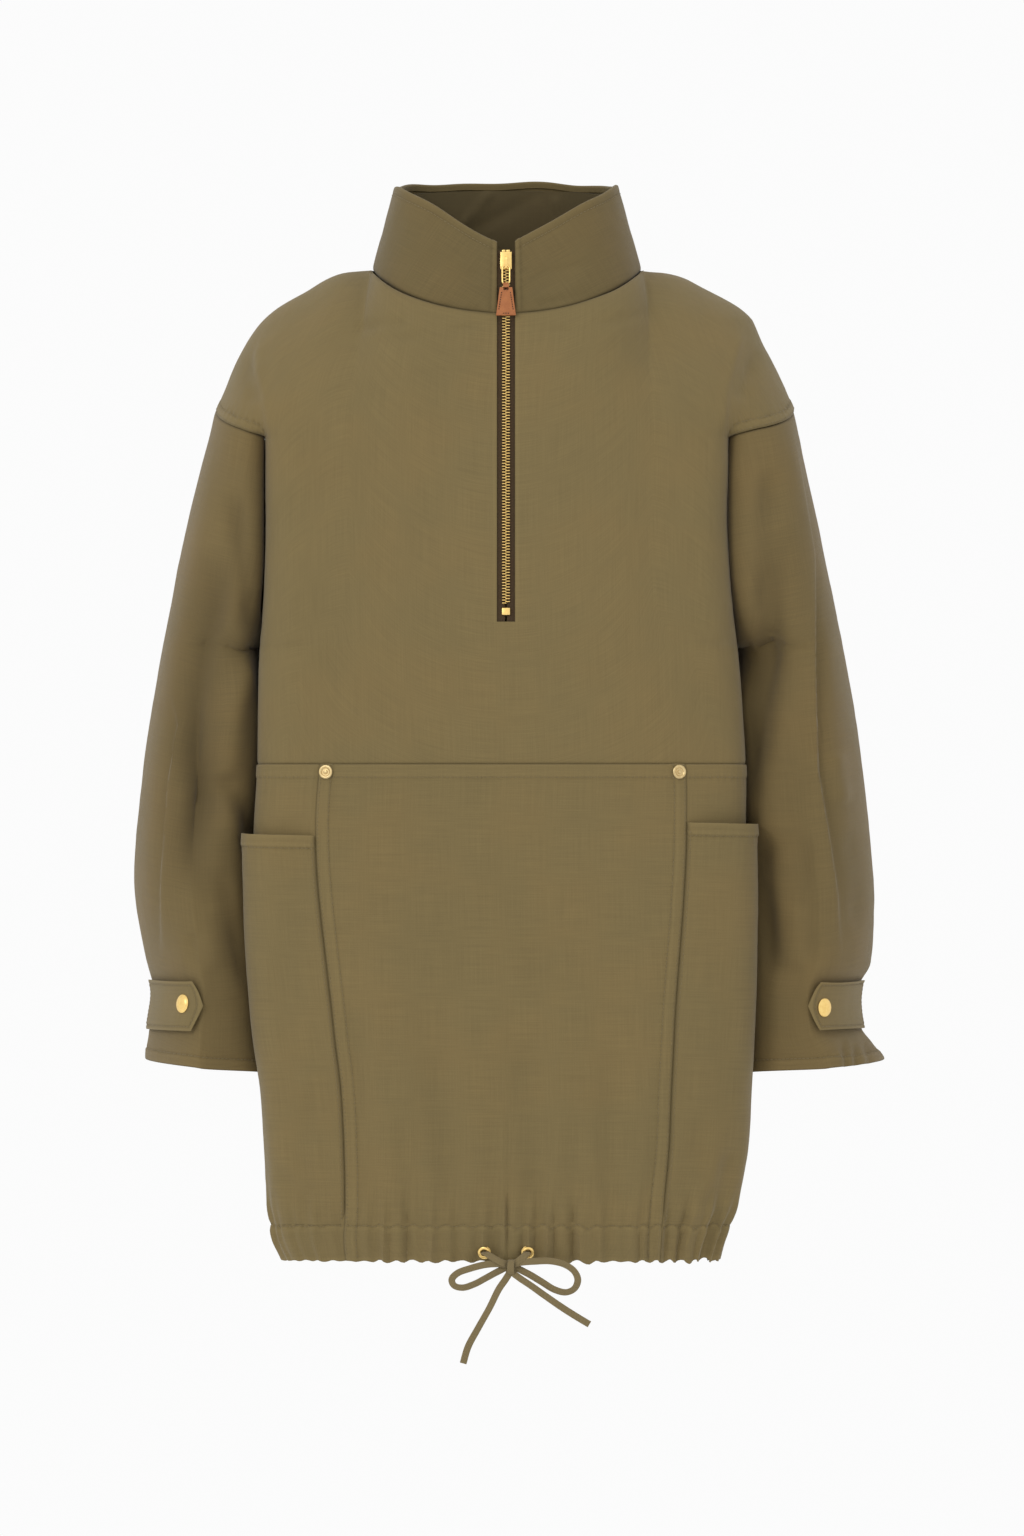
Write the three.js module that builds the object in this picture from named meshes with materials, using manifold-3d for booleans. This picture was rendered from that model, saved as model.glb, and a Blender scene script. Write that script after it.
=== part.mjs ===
// Half-zip smock jacket with a funnel collar, drop shoulders, patch pockets and a drawcord hem.
// Millimetres, Z up, front towards -Y. Origin: the centre of the neck, level with the inner ends
// of the shoulder seams. "left" is the -X side, as seen from the front.

import * as THREE from 'three';
import { ParametricGeometry } from 'three/addons/geometries/ParametricGeometry.js';
import { mergeVertices } from 'three/addons/utils/BufferGeometryUtils.js';
import Module from 'manifold-3d';

const wasm = await Module();
wasm.setup();

// ---- Driving dimensions -------------------------------------------------------------------
const CLOTH = 1.4;             // thickness of one layer of cloth
const SEAM_GAP = 0.5;          // gap between two panels at a seam
const SEAT_GAP = 0.3;          // gap between a piece and what it sits on

const YOKE_Z = -135;           // lowest point of the drop seam
const DROP_Z = -112;           // outer end of the shoulder seam
const ARMPIT_Z = -300;
const WAIST_Z = -392;
const SKIRT_LENGTH = 388;      // waist seam to hem
const HEM_Z = WAIST_Z - SKIRT_LENGTH;
const CHEST_HALF_WIDTH = 187;  // fold edge of the front, at the waist
const SHOULDER_HALF_WIDTH = CHEST_HALF_WIDTH + 40;
const SLEEVE_LENGTH = 512;     // shoulder point to cuff edge, on the outer side
const CUFF_SLANT = 12;         // how much lower the inner side of the cuff hangs

const NECK_HALF_WIDTH = 106;
const NECK_FRONT_Z = -39;
const COLLAR_FRONT_HEIGHT = 50;
const COLLAR_SIDE_RISE = 66;
const COLLAR_BACK_RISE = 66;
const COLLAR_TOP_HALF_WIDTH = 88;

const ZIP_LENGTH = 290;        // top stop to the underside of the bottom stop
const ZIP_LEAN = 0.144;        // forward lean of the front edge, per unit of height
const ZIP_WINDOW = 14;         // width of the slot in the cloth
const CHAIN_WIDTH = 6.4;
const CHAIN_PITCH = 4.6;
const TAPE_WIDTH = 14;

const POCKET_TOP_Z = -443;
const CASING_HEIGHT = 29;      // hem channel for the drawcord
const SEAM_HALF_WAIST = 143;   // apron seam from the middle, at the waist
const SEAM_HALF_HEM = 128;

const TAB_HEIGHT = 40;
const TAB_Z = -581;            // centre line of the cuff tab
const SNAP_DIAMETER = 16;
const RIVET_DIAMETER = 10.8;
const EYELET_SPACING = 34;
const EYELET_HOLE = 5.2;
const CORD_WIDTH = 4.4;
const CORD_THICKNESS = 1.6;

const OLIVE = 0x7d6c48;
const OLIVE_SLEEVE = 0x6b5c3d;
const OLIVE_COLLAR = 0x6f5f3f;
const OLIVE_INSIDE = 0x41391f;
const TAPE_BROWN = 0x3b2c18;
const GOLD = 0xc9a04a;
const PALE_GOLD = 0xb9a06a;
const TAN_LEATHER = 0xb7774a;

// ---- Solids -------------------------------------------------------------------------------

/** A closed geometry with shared vertices, its faces turned outwards. */
function closed(source) {
  const plain = source.clone();
  plain.deleteAttribute('normal');
  plain.deleteAttribute('uv');
  const geometry = mergeVertices(plain, 1e-4);
  const place = geometry.attributes.position;
  const index = geometry.index.array;
  const kept = [];
  const [a, b, c] = [new THREE.Vector3(), new THREE.Vector3(), new THREE.Vector3()];
  let volume = 0;
  for (let i = 0; i < index.length; i += 3) {
    const [p, q, r] = [index[i], index[i + 1], index[i + 2]];
    if (p === q || q === r || r === p) continue;
    kept.push(p, q, r);
    a.fromBufferAttribute(place, p);
    b.fromBufferAttribute(place, q);
    c.fromBufferAttribute(place, r);
    volume += a.dot(b.cross(c));
  }
  geometry.setIndex(volume < 0 ? kept.reverse() : kept);
  return geometry;
}

/** The manifold-3d solid of a closed geometry. */
function solid(geometry) {
  const shape = closed(geometry);
  return new wasm.Manifold(new wasm.Mesh({
    numProp: 3,
    vertProperties: new Float32Array(shape.attributes.position.array),
    triVerts: new Uint32Array(shape.index.array),
  }));
}

/** The largest connected piece of a manifold-3d solid, as a geometry. */
function fromSolid(shape) {
  const largest = shape.decompose().sort((one, other) => other.volume() - one.volume())[0];
  const mesh = largest.getMesh();
  const geometry = new THREE.BufferGeometry();
  geometry.setAttribute('position', new THREE.BufferAttribute(mesh.vertProperties, 3));
  geometry.setIndex(new THREE.BufferAttribute(mesh.triVerts, 1));
  return geometry;
}

function cut(geometry, ...tools) {
  return fromSolid(tools.reduce((left, tool) => left.subtract(solid(tool)), solid(geometry)));
}

function join(...geometries) {
  return fromSolid(geometries.map(solid).reduce((all, next) => all.add(next)));
}

/** A geometry placed by a position and a turn, given as plain numbers. */
function placed(geometry, x, y, z, turnX = 0, turnY = 0, turnZ = 0) {
  const turn = new THREE.Matrix4().makeRotationFromEuler(new THREE.Euler(turnX, turnY, turnZ));
  return geometry.clone().applyMatrix4(turn.setPosition(x, y, z));
}

function named(name, geometry, color, roughness = 0.9, metalness = 0) {
  const material = new THREE.MeshStandardMaterial({ color, roughness, metalness });
  const mesh = new THREE.Mesh(closed(geometry), material);
  mesh.name = name;
  return mesh;
}

// ---- Smooth profiles ----------------------------------------------------------------------

/** Smooth values at height z through rows of [z, value, ...], ordered from the top down. */
function profile(rows, z) {
  const last = rows.length - 1;
  if (z >= rows[0][0]) return rows[0].slice(1);
  if (z <= rows[last][0]) return rows[last].slice(1);
  const k = rows.findIndex((row, i) => i < last && z >= rows[i + 1][0]);
  const span = rows[k + 1][0] - rows[k][0];
  const t = (z - rows[k][0]) / span;
  const slope = (i, c) => {
    const [from, to] = [rows[Math.max(i - 1, 0)], rows[Math.min(i + 1, last)]];
    return (to[c] - from[c]) / (to[0] - from[0]);
  };
  return rows[k].slice(1).map((value, n) => {
    const c = n + 1;
    const [h1, h2] = [t * t * (3 - 2 * t), t * (1 - t) * (1 - t)];
    const h3 = t * t * (t - 1);
    return value * (1 - h1) + rows[k + 1][c] * h1 + span * (slope(k, c) * h2 + slope(k + 1, c) * h3);
  });
}

function smoothstep(t) {
  const k = Math.min(Math.max(t, 0), 1);
  return k * k * (3 - 2 * k);
}

/** Depth (Y) of the middle of the front at height z: straight along the zip, then full. */
const ZIP_TOP_Z = NECK_FRONT_Z + COLLAR_FRONT_HEIGHT;
const ZIP_TOP_Y = -84;
const ZIP_END_Z = ZIP_TOP_Z - (ZIP_LENGTH + 12) / Math.hypot(1, ZIP_LEAN);
const zipPlaneY = (z) => ZIP_TOP_Y - ZIP_LEAN * (ZIP_TOP_Z - z);

const HIP_Z = WAIST_Z - 0.54 * SKIRT_LENGTH;
const LOW_Z = HEM_Z + 40;
const FRONT_DEPTH = [
  [YOKE_Z, zipPlaneY(YOKE_Z)],
  [ZIP_END_Z + 20, zipPlaneY(ZIP_END_Z + 20)],
  [ZIP_END_Z, zipPlaneY(ZIP_END_Z)],
  [Math.min(WAIST_Z, ZIP_END_Z - 60), -133],
  [HIP_Z, -131],
  [LOW_Z, -124],
  [HEM_Z, -113],
];
const frontY = (z) => (z >= ZIP_END_Z ? zipPlaneY(z) : profile(FRONT_DEPTH, z)[0]);

/** Rows of the body: height, then x and y of the seam, fold, side and back corner, back y. */
const CHEST = CHEST_HALF_WIDTH;
const BODY_ROWS = [
  [YOKE_Z, 104, 2, CHEST - 9, -88, CHEST - 11, -12, 158, 64, 88, 96, 103],
  [ARMPIT_Z, 110, 2.5, CHEST - 2, -104, CHEST - 6, -10, 166, 78, 92, 108, 114],
  [WAIST_Z, SEAM_HALF_WAIST, 7, CHEST, -105, CHEST - 3, -8, 168, 80, 94, 108, 114],
  [HIP_Z, (SEAM_HALF_WAIST + SEAM_HALF_HEM) / 2, 7, CHEST + 2, -101, CHEST - 1, -8, 168, 78, 94, 106, 111],
  [LOW_Z, SEAM_HALF_HEM + 1, 6, CHEST - 4, -96, CHEST - 7, -8, 160, 72, 90, 99, 104],
  [HEM_Z, SEAM_HALF_HEM, 5, CHEST - 14, -88, CHEST - 16, -8, 150, 66, 85, 92, 97],
];

/** Half ring of the body at height z: s runs 0 front middle, 1 apron seam, 2 fold, 3 side, 6 back. */
const ringAt = new Map();
function ringPoint(s, z) {
  if (!ringAt.has(z)) {
    const front = frontY(z);
    const [seamX, seamIn, foldX, foldY, sideX, sideY, cornerX, cornerY, backX, backY, middleY] =
      profile(BODY_ROWS, z);
    const half = [[0, front], [seamX, front + seamIn], [foldX, foldY], [sideX, sideY],
      [cornerX, cornerY], [backX, backY], [0, middleY]];
    const mirrored = half.slice(1, 6).reverse().map(([x, y]) => [-x, y]);
    const points = [...half, ...mirrored].map(([x, y]) => new THREE.Vector3(x, y, z));
    ringAt.set(z, new THREE.CatmullRomCurve3(points, true, 'centripetal'));
  }
  return ringAt.get(z).getPoint((((s % 12) + 12) % 12) / 12);
}

// ---- Armhole and sleeve surfaces ----------------------------------------------------------
const FRONT = -1;
const BACK = 1;
const ARMHOLE_S = 0.65;        // how far the armhole reaches from the side, in ring steps
const ARMHOLE_BEND_Z = ARMPIT_Z + 50;
const SLEEVE_MIDDLE_Y = -10;
const CUFF_Z = DROP_Z - SLEEVE_LENGTH;
const CUFF_RISE = 28;           // how far above the cuff tab the sleeve has drawn in

/** Rows of the sleeve: height, outer x, inner x, half depth, squareness. */
const SLEEVE_ROWS = [
  [DROP_Z, SHOULDER_HALF_WIDTH, CHEST - 4, 50, 2.2],
  [YOKE_Z, SHOULDER_HALF_WIDTH + 4.5, CHEST - 2, 58, 2.2],
  [DROP_Z - 0.17 * SLEEVE_LENGTH, SHOULDER_HALF_WIDTH + 18, CHEST, 70, 2.2],
  [ARMPIT_Z, SHOULDER_HALF_WIDTH + 38, CHEST + 4.5, 80, 2.1],
  [DROP_Z - 0.56 * SLEEVE_LENGTH, SHOULDER_HALF_WIDTH + 54, CHEST + 6.5, 84, 1.9],
  [DROP_Z - 0.72 * SLEEVE_LENGTH, SHOULDER_HALF_WIDTH + 61.5, CHEST + 8.5, 84, 1.7],
  [TAB_Z + CUFF_RISE, SHOULDER_HALF_WIDTH + 54, CHEST + 8, 80, 1.5],
  [TAB_Z, SHOULDER_HALF_WIDTH + 53, CHEST + 8, 79, 1.45],
  [CUFF_Z - CUFF_SLANT, SHOULDER_HALF_WIDTH + 58, CHEST + 8, 78, 1.45],
];

/** Ring position of the armhole edge at height z, counted from the side seam. */
function armholeReach(z) {
  if (z <= ARMPIT_Z) return 0;
  const k = Math.min((z - ARMPIT_Z) / (ARMHOLE_BEND_Z - ARMPIT_Z), 1);
  return ARMHOLE_S * Math.sqrt(1 - (1 - k) * (1 - k));
}

const armholePoint = (face, z) => ringPoint(3 + face * armholeReach(z), z);

/** A point of one sleeve half: u from the outer ridge to the armhole or underarm, at height z. */
function sleeveSection(face, u, z) {
  const [outer, inner, depth, squareness] = profile(SLEEVE_ROWS, z);
  const [middle, half] = [(outer + inner) / 2, (outer - inner) / 2];
  const power = 2 / squareness;
  const [c, s] = [Math.cos(u * Math.PI), Math.sin(u * Math.PI)];
  const x = middle + half * Math.sign(c) * Math.abs(c) ** power;
  const y = SLEEVE_MIDDLE_Y + face * depth * Math.abs(s) ** power;
  const point = new THREE.Vector3(x, y, z);
  if (z > ARMPIT_Z) {
    const edge = armholePoint(face, Math.min(z, YOKE_Z));
    point.x += (edge.x - inner) * u ** 10;
    point.y += (edge.y - SLEEVE_MIDDLE_Y) * u ** 3;
  }
  return point;
}

const dropSeamZ = (u) => DROP_Z + (YOKE_Z - DROP_Z) * Math.sin(u * Math.PI / 2);
const dropSeam = (face, u) => sleeveSection(face, u, dropSeamZ(u));

function sleevePoint(face, u, t) {
  const top = dropSeamZ(u);
  const bottom = CUFF_Z - CUFF_SLANT * u;
  return sleeveSection(face, u, top + (bottom - top) * t);
}

// ---- Shoulder and neck surfaces -----------------------------------------------------------
const NECK_S = (3 - ARMHOLE_S) / 2;   // ring position that meets the neck end of the shoulder seam
const NECK_SIDE_Z = -4;
const NECK_SIDE_Y = -6;
const NECK_BACK_Y = 52;
const NECK_FLATNESS = 1.7;     // above 1, the neckline runs straight past the zip

/** Neckline: q runs 0 at the middle of the front or back to 1 at the shoulder seam. */
function neckline(face, q) {
  const [s, c] = [Math.sin(q * Math.PI / 2), Math.cos(q * Math.PI / 2)];
  const middleY = face === FRONT ? zipPlaneY(NECK_FRONT_Z) : NECK_BACK_Y;
  const rise = face === FRONT ? (NECK_FRONT_Z - NECK_SIDE_Z) * c ** 1.5 : 6 * c;
  const y = middleY + (NECK_SIDE_Y - middleY) * (1 - c) ** NECK_FLATNESS;
  return new THREE.Vector3(NECK_HALF_WIDTH * s, y, NECK_SIDE_Z + rise);
}

const SHOULDER_SPAN = SHOULDER_HALF_WIDTH - NECK_HALF_WIDTH;
const SHOULDER_SEAM = new THREE.CatmullRomCurve3([
  new THREE.Vector3(NECK_HALF_WIDTH, NECK_SIDE_Y, NECK_SIDE_Z),
  new THREE.Vector3(NECK_HALF_WIDTH + 0.36 * SHOULDER_SPAN, -8, -17),
  new THREE.Vector3(NECK_HALF_WIDTH + 0.66 * SHOULDER_SPAN, -9, -36),
  new THREE.Vector3(NECK_HALF_WIDTH + 0.84 * SHOULDER_SPAN, -10, -66),
  new THREE.Vector3(SHOULDER_HALF_WIDTH, SLEEVE_MIDDLE_Y, DROP_Z),
]);

/** A Hermite curve between two points, the tangents given at full length. */
function hermite(from, to, leave, arrive, t) {
  const [h1, h2] = [t * t * (3 - 2 * t), t * (1 - t) * (1 - t)];
  return new THREE.Vector3()
    .addScaledVector(from, 1 - h1)
    .addScaledVector(to, h1)
    .addScaledVector(leave, h2)
    .addScaledVector(arrive, t * t * (t - 1));
}

/** Yoke of the front or back: a from the middle to the armhole, w from the yoke line to the top. */
function yokePoint(face, a, w) {
  const reach = 3 - ARMHOLE_S;
  const s = a * reach;
  const ringS = face === FRONT ? s : 6 - s;
  const bottom = ringPoint(ringS, YOKE_Z);
  const q = (s - NECK_S) / (reach - NECK_S);
  const top = q < 0 ? neckline(face, s / NECK_S) : SHOULDER_SEAM.getPoint(q);
  const chord = top.distanceTo(bottom);
  const lean = face === FRONT ? ZIP_LEAN : -0.1;
  const leave = new THREE.Vector3(0, lean, 1).setLength(chord);
  const flat = smoothstep(s / NECK_S);
  const arrive = new THREE.Vector3(0, lean, 1).lerp(new THREE.Vector3(0, -face, 0), flat);
  const point = hermite(bottom, top, leave, arrive.setLength(chord * (1 - 0.3 * flat)), w);
  const side = hermite(
    ringPoint(face === FRONT ? reach : 6 - reach, YOKE_Z), SHOULDER_SEAM.getPoint(1),
    leave, arrive, w);
  const wanted = dropSeam(face, 1 - w);
  return a < 1 ? point.addScaledVector(wanted.sub(side), a ** 6) : wanted;
}

/** Front or back above the waist: a from the middle to the edge, t from the top to the waist. */
const YOKE_SHARE = 0.4;
function upperPoint(face, a, t) {
  if (t < YOKE_SHARE) return yokePoint(face, Math.abs(a), 1 - t / YOKE_SHARE);
  const z = YOKE_Z + (WAIST_Z + SEAM_GAP / 2 - YOKE_Z) * (t - YOKE_SHARE) / (1 - YOKE_SHARE);
  const s = Math.abs(a) * (3 - armholeReach(z));
  return ringPoint(face === FRONT ? s : 6 - s, z);
}

// ---- Closed sheets ------------------------------------------------------------------------

/** The surface (u, v in 0..1) moved along its normal, away from the axis that centre(point) gives. */
function offset(surface, distance, centre) {
  const step = 0.004;
  return (u, v) => {
    const [u0, u1] = [Math.max(u - step, 0), Math.min(u + step, 1)];
    const [v0, v1] = [Math.max(v - step, 0), Math.min(v + step, 1)];
    const across = surface(u1, v).sub(surface(u0, v));
    const along = surface(u, v1).sub(surface(u, v0));
    const normal = across.cross(along).normalize();
    const point = surface(u, v);
    const out = point.clone().sub(centre(point));
    return point.addScaledVector(normal, normal.dot(out) < 0 ? -distance : distance);
  };
}

/** A closed sheet between two surfaces: the outer face, one rim, the inner face back, one rim. */
function sheet(outer, inner, columns, rows, ring = false) {
  const around = 2 * rows + 2;
  const slices = ring ? columns : columns + 2;
  const geometry = new ParametricGeometry((u, v, target) => {
    const i = Math.round(u * slices);
    const k = Math.round(v * around) % around;
    const column = ring ? i % columns : Math.min(Math.max(i - 1, 0), columns);
    const row = k <= rows ? k : around - 1 - k;
    const outside = outer(column / columns, row / rows);
    const inside = inner(column / columns, row / rows);
    if (!ring && (i === 0 || i === slices)) target.copy(outside.add(inside).multiplyScalar(0.5));
    else target.copy(k <= rows ? outside : inside);
  }, slices, around);
  return closed(geometry);
}

/** A cloth sheet of the given thickness, its outer face raised by lift(u, v). */
function cloth(surface, centre, columns, rows, thickness = CLOTH, lift = () => 0) {
  const raised = (extra) => (u, v) => offset(surface, lift(u, v) + extra, centre)(u, v);
  return sheet(raised(0), raised(-thickness), columns, rows);
}

const bodyCentre = (point) => new THREE.Vector3(0, -5, point.z - 40);
function sleeveCentre(point) {
  const [outer, inner] = profile(SLEEVE_ROWS, point.z);
  return new THREE.Vector3((outer + inner) / 2, SLEEVE_MIDDLE_Y, point.z - 8);
}

/** Mirrors a geometry built on the +X side to the given side. */
function onSide(geometry, side) {
  return closed(side > 0 ? geometry : geometry.clone().scale(-1, 1, 1));
}

const SIDES = [['left', -1], ['right', 1]];

// ---- Zip frame ----------------------------------------------------------------------------
const ZIP_TILT = -Math.atan(ZIP_LEAN);

/** Moves a geometry built in the zip's own frame, top end at its origin, to its place. */
function inZip(geometry) {
  return placed(geometry, 0, ZIP_TOP_Y, ZIP_TOP_Z, ZIP_TILT);
}

function box(x0, x1, y0, y1, z0, z1) {
  return placed(new THREE.BoxGeometry(x1 - x0, y1 - y0, z1 - z0),
    (x0 + x1) / 2, (y0 + y1) / 2, (z0 + z1) / 2);
}

const STOP_HEIGHT = 6;
const zipSlot = inZip(box(-ZIP_WINDOW / 2, ZIP_WINDOW / 2, -20, 20, -ZIP_LENGTH - 2, 20));

// ---- Body panels --------------------------------------------------------------------------
const seamInset = (u, n) => (u * 2 - 1) * (1 - n);

function frontChestPanel() {
  const surface = (u, v) => {
    const a = seamInset(u, 0.0014);
    const point = upperPoint(FRONT, a, v);
    point.x *= Math.sign(a) || 1;
    point.y -= v < YOKE_SHARE ? SEAM_GAP / 2 * (1 - v / YOKE_SHARE) : 0;
    return point;
  };
  return cut(cloth(surface, bodyCentre, 16, 12), zipSlot);
}

function upperBackPanel() {
  const surface = (u, v) => {
    const a = seamInset(u, 0.0014);
    const point = upperPoint(BACK, a, v);
    point.x *= Math.sign(a) || 1;
    point.y += v < YOKE_SHARE ? SEAM_GAP / 2 * (1 - v / YOKE_SHARE) : 0;
    return point;
  };
  return cloth(surface, bodyCentre, 16, 10);
}

/** A band of the body between two ring positions and two heights. */
function ringBand(from, to, top, bottom) {
  return (u, v) => ringPoint(from + (to - from) * u, top + (bottom - top) * v);
}

/** A lower panel's surface from the waist seam to the hem, its last rows within the casing. */
const CASING_TOP_Z = HEM_Z + CASING_HEIGHT;
const CASING_SHARE = 0.25;
function lowerSurface(from, to) {
  const above = ringBand(from, to, WAIST_Z - SEAM_GAP / 2, CASING_TOP_Z);
  const below = ringBand(from, to, CASING_TOP_Z, HEM_Z);
  const split = 1 - CASING_SHARE;
  return (u, v) => (v < split ? above(u, v / split) : below(u, (v - split) / CASING_SHARE));
}

const SEAM_S = 0.0022;         // half of a vertical seam gap, in ring steps
const EYELET_Z = HEM_Z + 7;
const RIVET_X = SEAM_HALF_WAIST - 5;
const RIVET_Z = WAIST_Z - 6;

/** Point and outward normal of the front at x (within the apron) and height z. */
function apronSeat(x, z) {
  let [low, high] = [0, 1];
  for (let i = 0; i < 30; i += 1) {
    const middle = (low + high) / 2;
    if (ringPoint(middle, z).x < x) low = middle;
    else high = middle;
  }
  return seatOn((u, v) => ringPoint(low + u * 0.01, z - v * 2), bodyCentre);
}

/** Point and outward normal at the start of a surface. */
function seatOn(surface, centre) {
  const point = surface(0, 0);
  const normal = surface(1, 0).sub(point).cross(surface(0, 1).sub(point)).normalize();
  if (normal.dot(point.clone().sub(centre(point))) < 0) normal.negate();
  return { point, normal };
}

/** Moves a geometry whose +Z axis leaves the cloth, to a seat on the cloth. */
function onSeat(geometry, seat, lift = 0) {
  const turn = new THREE.Quaternion().setFromUnitVectors(new THREE.Vector3(0, 0, 1), seat.normal);
  const at = seat.point.clone().addScaledVector(seat.normal, lift);
  return geometry.clone().applyMatrix4(new THREE.Matrix4().compose(at, turn, new THREE.Vector3(1, 1, 1)));
}

const rivetSeat = apronSeat(RIVET_X, RIVET_Z);
const eyeletSeat = apronSeat(EYELET_SPACING / 2, EYELET_Z);
const mirrorSeat = (seat, side) => ({
  point: seat.point.clone().setX(seat.point.x * side),
  normal: seat.normal.clone().setX(seat.normal.x * side),
});

function drill(seat, diameter, depth = 12) {
  const pin = new THREE.CylinderGeometry(diameter / 2, diameter / 2, depth, 16);
  return onSeat(placed(pin, 0, 0, 0, Math.PI / 2), seat);
}

const RIVET_SHANK = 3;
const EYELET_BARREL = EYELET_HOLE + 1.2;

function lowerFrontPanel() {
  const panel = cloth(lowerSurface(-1 + SEAM_S, 1 - SEAM_S), bodyCentre, 8, 8);
  const holes = SIDES.flatMap(([, side]) => [
    drill(mirrorSeat(rivetSeat, side), RIVET_SHANK + 2 * SEAT_GAP),
    drill(mirrorSeat(eyeletSeat, side), EYELET_BARREL + 2 * SEAT_GAP),
  ]);
  return cut(panel, ...holes);
}

const lowerSidePanel = () => cloth(lowerSurface(1 + SEAM_S, 3 - SEAM_S), bodyCentre, 8, 8);
const lowerBackPanel = () => cloth(lowerSurface(3 + SEAM_S, 9 - SEAM_S), bodyCentre, 24, 8);

/** Inner wall of the hem channel: it bows inwards and meets the panels at both edges. */
const CHANNEL_DEPTH = 9;       // from the outer face to the inner wall, where the hem is fullest
function hemCasing() {
  const surface = ringBand(0, 12, CASING_TOP_Z, HEM_Z + 1);
  const seat = CLOTH + 2 * SEAT_GAP;
  const bow = (v) => seat + (CHANNEL_DEPTH - seat) * Math.min(4 * Math.min(v, 1 - v), 1);
  const layer = (extra) => (u, v) => offset(surface, -bow(v) - extra, bodyCentre)(u, v);
  return sheet(layer(0), layer(CLOTH), 48, 4, true);
}

// ---- Pockets ------------------------------------------------------------------------------
const POCKET_BULGE = 10;       // how far the pocket mouth stands off the side panel
const POCKET_END_S = 2.94;     // just short of the side seam
const POCKET_BOTTOM_Z = CASING_TOP_Z + 1;

function pocket() {
  const surface = ringBand(1 + 4 * SEAM_S, POCKET_END_S, POCKET_TOP_Z, POCKET_BOTTOM_Z);
  const bulge = (u, v) => POCKET_BULGE * Math.sin(Math.PI * u) ** 1.2 * (1 - v) ** 0.8;
  const lift = (u, v) => CLOTH + SEAT_GAP + 0.3 * v + bulge(u, v);
  return cloth(surface, bodyCentre, 8, 6, CLOTH, lift);
}

// ---- Collar -------------------------------------------------------------------------------

const COLLAR_TOP_SIDE_Y = -18;
const COLLAR_TOP_BACK_Y = 48;

/** Collar around the neck: g from the front opening round the back and on, h from seam to edge. */
function collarPoint(g, h) {
  const angle = 2 * Math.PI * g;
  const [s, c] = [Math.sin(angle), Math.cos(angle)];
  const face = c >= 0 ? FRONT : BACK;
  const q = Math.acos(Math.min(Math.abs(c), 1)) / (Math.PI / 2);
  const base = neckline(face, q);
  base.x *= Math.sign(s) || 1;
  const rise = COLLAR_SIDE_RISE + NECK_SIDE_Z;
  const topZ = c >= 0
    ? ZIP_TOP_Z + (rise - ZIP_TOP_Z) * Math.abs(s)
    : rise - (COLLAR_BACK_RISE + 2 - rise) * c;
  const endY = c >= 0 ? zipPlaneY(topZ) : COLLAR_TOP_BACK_Y;
  const topY = endY + (COLLAR_TOP_SIDE_Y - endY) * (1 - Math.abs(c)) ** NECK_FLATNESS;
  const top = new THREE.Vector3(COLLAR_TOP_HALF_WIDTH * s, topY, topZ);
  return base.lerp(top, h);
}

const COLLAR_START = 0.008;    // share of the way round at which each collar end starts
const NECK_GAP = 1.6;          // gap between the collar and the neckline
function collarLayer(inset, thickness, columns, rows, start) {
  const surface = (u, v) => {
    const point = collarPoint(start + (1 - 2 * start) * u, v);
    point.z += NECK_GAP * (1 - v);
    return point;
  };
  const centre = (point) => new THREE.Vector3(0, -18, point.z);
  return cloth(surface, centre, columns, rows, thickness, () => -inset);
}

const TAPE_THICKNESS = 0.8;
const TAPE_BACK = CLOTH + SEAT_GAP + TAPE_THICKNESS;
const collarOuter = () => cut(collarLayer(0, CLOTH, 30, 2, COLLAR_START), zipSlot);
function collarFacing() {
  const layer = collarLayer(TAPE_BACK + SEAT_GAP, CLOTH, 30, 2, COLLAR_START);
  return cut(layer, inZip(box(-ZIP_WINDOW / 2, ZIP_WINDOW / 2, -30, 30, -ZIP_LENGTH, 30)));
}

// ---- Sleeves ------------------------------------------------------------------------------
const RIDGE_INSET = 0.0016;

const ARMHOLE_GAP = 1.4;       // gap between a sleeve's edge and the body wall

function sleeveHalf(face) {
  const surface = (u, v) => {
    const inward = RIDGE_INSET + (1 - 2 * RIDGE_INSET) * u;
    const point = sleevePoint(face, inward, v);
    point.z -= ARMHOLE_GAP * (1 - v);
    point.x += ARMHOLE_GAP * u ** 8 * (point.z > ARMPIT_Z - 20 ? 1 : 0);
    return point;
  };
  return cloth(surface, sleeveCentre, 10, 13);
}

// ---- Cuff tabs ----------------------------------------------------------------------------
const TAB_START_U = 0.04;      // sewn end, beside the sleeve's outer seam
const TAB_TIP_U = 0.5;
const TAB_CLEARANCE = 0.9;      // between the sleeve and the tab's sewn end
const TAB_POINT = 0.16;        // length of the pointed end, as a share of the tab
const TAB_THICKNESS = 2.2;
const SNAP_U = 0.36;
const SNAP_HEIGHT = 1.8;       // stud flange plus socket between sleeve and tab

function tabSurface(u, v) {
  const corner = Math.abs(v - 0.5) * 2 * Math.max((u - 0.8) / 0.2, 0);
  const reach = TAB_START_U + (TAB_TIP_U - TAB_START_U) * (u - TAB_POINT * corner);
  return sleeveSection(FRONT, reach, TAB_Z + TAB_HEIGHT * (0.5 - v));
}

const tabLift = (u) => TAB_CLEARANCE + SNAP_HEIGHT * smoothstep(u / 0.6) + TAB_THICKNESS;

const tabCentre = (point) => sleeveCentre(point).setZ(point.z);
const snapSeat = seatOn(
  (u, v) => sleeveSection(FRONT, SNAP_U + 0.01 * u, TAB_Z - 2 * v), tabCentre);
const SNAP_SHANK = 3.4;

/** A solid of revolution about Z from [radius, height] points that start and end on the axis. */
function turned(points, segments = 14) {
  const outline = points.map(([r, z]) => new THREE.Vector2(r, z));
  return placed(new THREE.LatheGeometry(outline, segments), 0, 0, 0, Math.PI / 2);
}

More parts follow.
